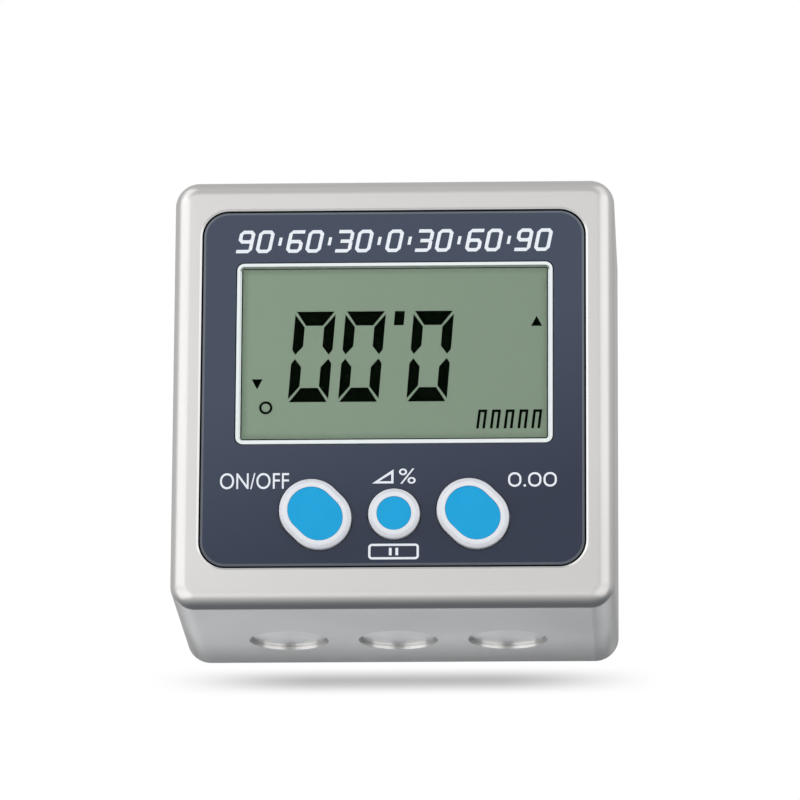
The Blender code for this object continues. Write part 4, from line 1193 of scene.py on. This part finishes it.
def build_shade(name, front, middle, back, half, fade, depth, level, ray, below):
    """A dark level sheet with soft edges, which only one kind of ray sees, from one side.

    One is the soft strip of shadow behind the base, seen from below. The other darkens what
    the base mirrors near its back edge.
    """
    material, graph = stage_material(name)
    ends = graph.soft_step(graph.maths("ABSOLUTE", graph.along("X")), half * MM, (half - fade) * MM)
    rise = graph.soft_step(graph.along("Y"), front * MM, middle * MM)
    fall = graph.soft_step(graph.along("Y"), back * MM, middle * MM)
    path = graph.node("ShaderNodeLightPath").outputs
    side = graph.node("ShaderNodeNewGeometry").outputs["Backfacing"]
    facing = graph.maths("COMPARE", side, below, 0.5)
    black = graph.node("ShaderNodeEmission", {"Strength": 0.0})
    clear = graph.node("ShaderNodeBsdfTransparent")
    graph.show(graph.times(ends, rise, fall, facing, path[ray], depth), clear, black)
    stage_plane(name, (-half * MM, front * MM), (half * MM, back * MM), level * FLOOR_DROP,
                material)


SKY = 0.61
GROUND = (0.15, 0.16, 0.175)
GROUND_WAY = Vector((0.15, 0.59, -0.79))
GROUND_START = 0.06
GROUND_FULL = 0.93


def build_world():
    """White behind the object. For light and gloss, a pale sky that darkens down and back."""
    world = bpy.data.worlds.new("studio")
    bpy.context.scene.world = world
    world.use_nodes = True
    world.node_tree.nodes.clear()
    graph = Graph(world.node_tree, "Generated")
    ground = graph.soft_step(graph.along_way(GROUND_WAY), GROUND_START, GROUND_FULL)
    level = graph.mixed(ground, (SKY, SKY, SKY, 1.0), (*GROUND, 1.0))
    path = graph.node("ShaderNodeLightPath").outputs
    seen = graph.maths("MAXIMUM", path["Is Camera Ray"], path["Is Transmission Ray"])
    colour = graph.mixed(seen, level, (1, 1, 1, 1))
    back = graph.node("ShaderNodeBackground", {"Color": colour})
    graph.node("ShaderNodeOutputWorld", {"Surface": back.outputs[0]})


LAMP_AIM = 30 * MM
LAMP_DISTANCE = 1.2
NEUTRAL = (1.0, 1.0, 1.0)
COOL = (0.97, 0.99, 1.0)

# Name, azimuth from -Y towards +X and elevation in degrees, size in metres, radiance and tint
LAMPS = (
    ("front_left_softbox", -11.5, -5, (0.46, 1.55), 0.49, NEUTRAL),
    ("front_right_softbox", 8, -5, (0.36, 1.55), 0.18, NEUTRAL),
    ("left_softbox", -51, -6, (1.6, 1.9), 0.76, NEUTRAL),
    ("right_softbox", 49, -6, (1.5, 1.9), 0.62, NEUTRAL),
    ("back_left_softbox", 198, -14, (0.76, 0.3), 0.78, COOL),
    ("back_right_softbox", 162, -14, (0.76, 0.3), 0.45, COOL),
    ("back_right_low_softbox", 165.5, -5, (0.42, 0.25), 0.26, COOL),
    ("left_high_softbox", -62, 48, (0.9, 0.9), 0.7, NEUTRAL),
    ("right_high_softbox", 62, 48, (0.9, 0.9), 0.45, NEUTRAL))


def softbox(name, azimuth, elevation, size, radiance, tint):
    """A rectangular lamp that faces the object. Radiance 1 shows as white."""
    lamp = bpy.data.lights.new(name, "AREA")
    lamp.shape = "RECTANGLE"
    lamp.size, lamp.size_y = size
    lamp.energy = radiance * size[0] * size[1] * math.pi
    lamp.color = tint
    made = add_object(name, lamp)
    turn, rise = math.radians(azimuth), math.radians(elevation)
    way = Vector((math.sin(turn) * math.cos(rise), -math.cos(turn) * math.cos(rise),
                  math.sin(rise)))
    made.location = Vector((0, 0, LAMP_AIM)) + way * LAMP_DISTANCE
    made.rotation_euler = (-way).to_track_quat("-Z", "Y").to_euler()
    made.visible_camera = False


def build_camera():
    camera = add_object("camera", bpy.data.cameras.new("camera"))
    camera.data.lens = CAMERA_LENS
    camera.data.shift_x, camera.data.shift_y = CAMERA_SHIFT
    camera.data.clip_start = CAMERA_NEAR
    turn = Matrix.Rotation(CAMERA_YAW, 4, "Z")
    tilt = Matrix.Rotation(math.pi / 2 + CAMERA_PITCH, 4, "X")
    roll = Matrix.Rotation(CAMERA_ROLL, 4, "Z")
    camera.matrix_world = Matrix.Translation(CAMERA_PLACE) @ turn @ tilt @ roll
    bpy.context.scene.camera = camera
    bpy.context.scene.view_settings.view_transform = "Standard"


def main():
    dress_nodes()
    build_housing()
    build_magnets()
    build_panel()
    for name, draw in KEYS:
        build_key(name, draw)
    print_scale()
    print_labels()
    mark_display()
    build_cover_screws()
    build_cells()
    build_springs()
    build_floor()
    for name, shape in SHADES.items():
        build_shade(name, **shape)
    build_world()
    for row in LAMPS:
        softbox(*row)
    build_camera()


main()
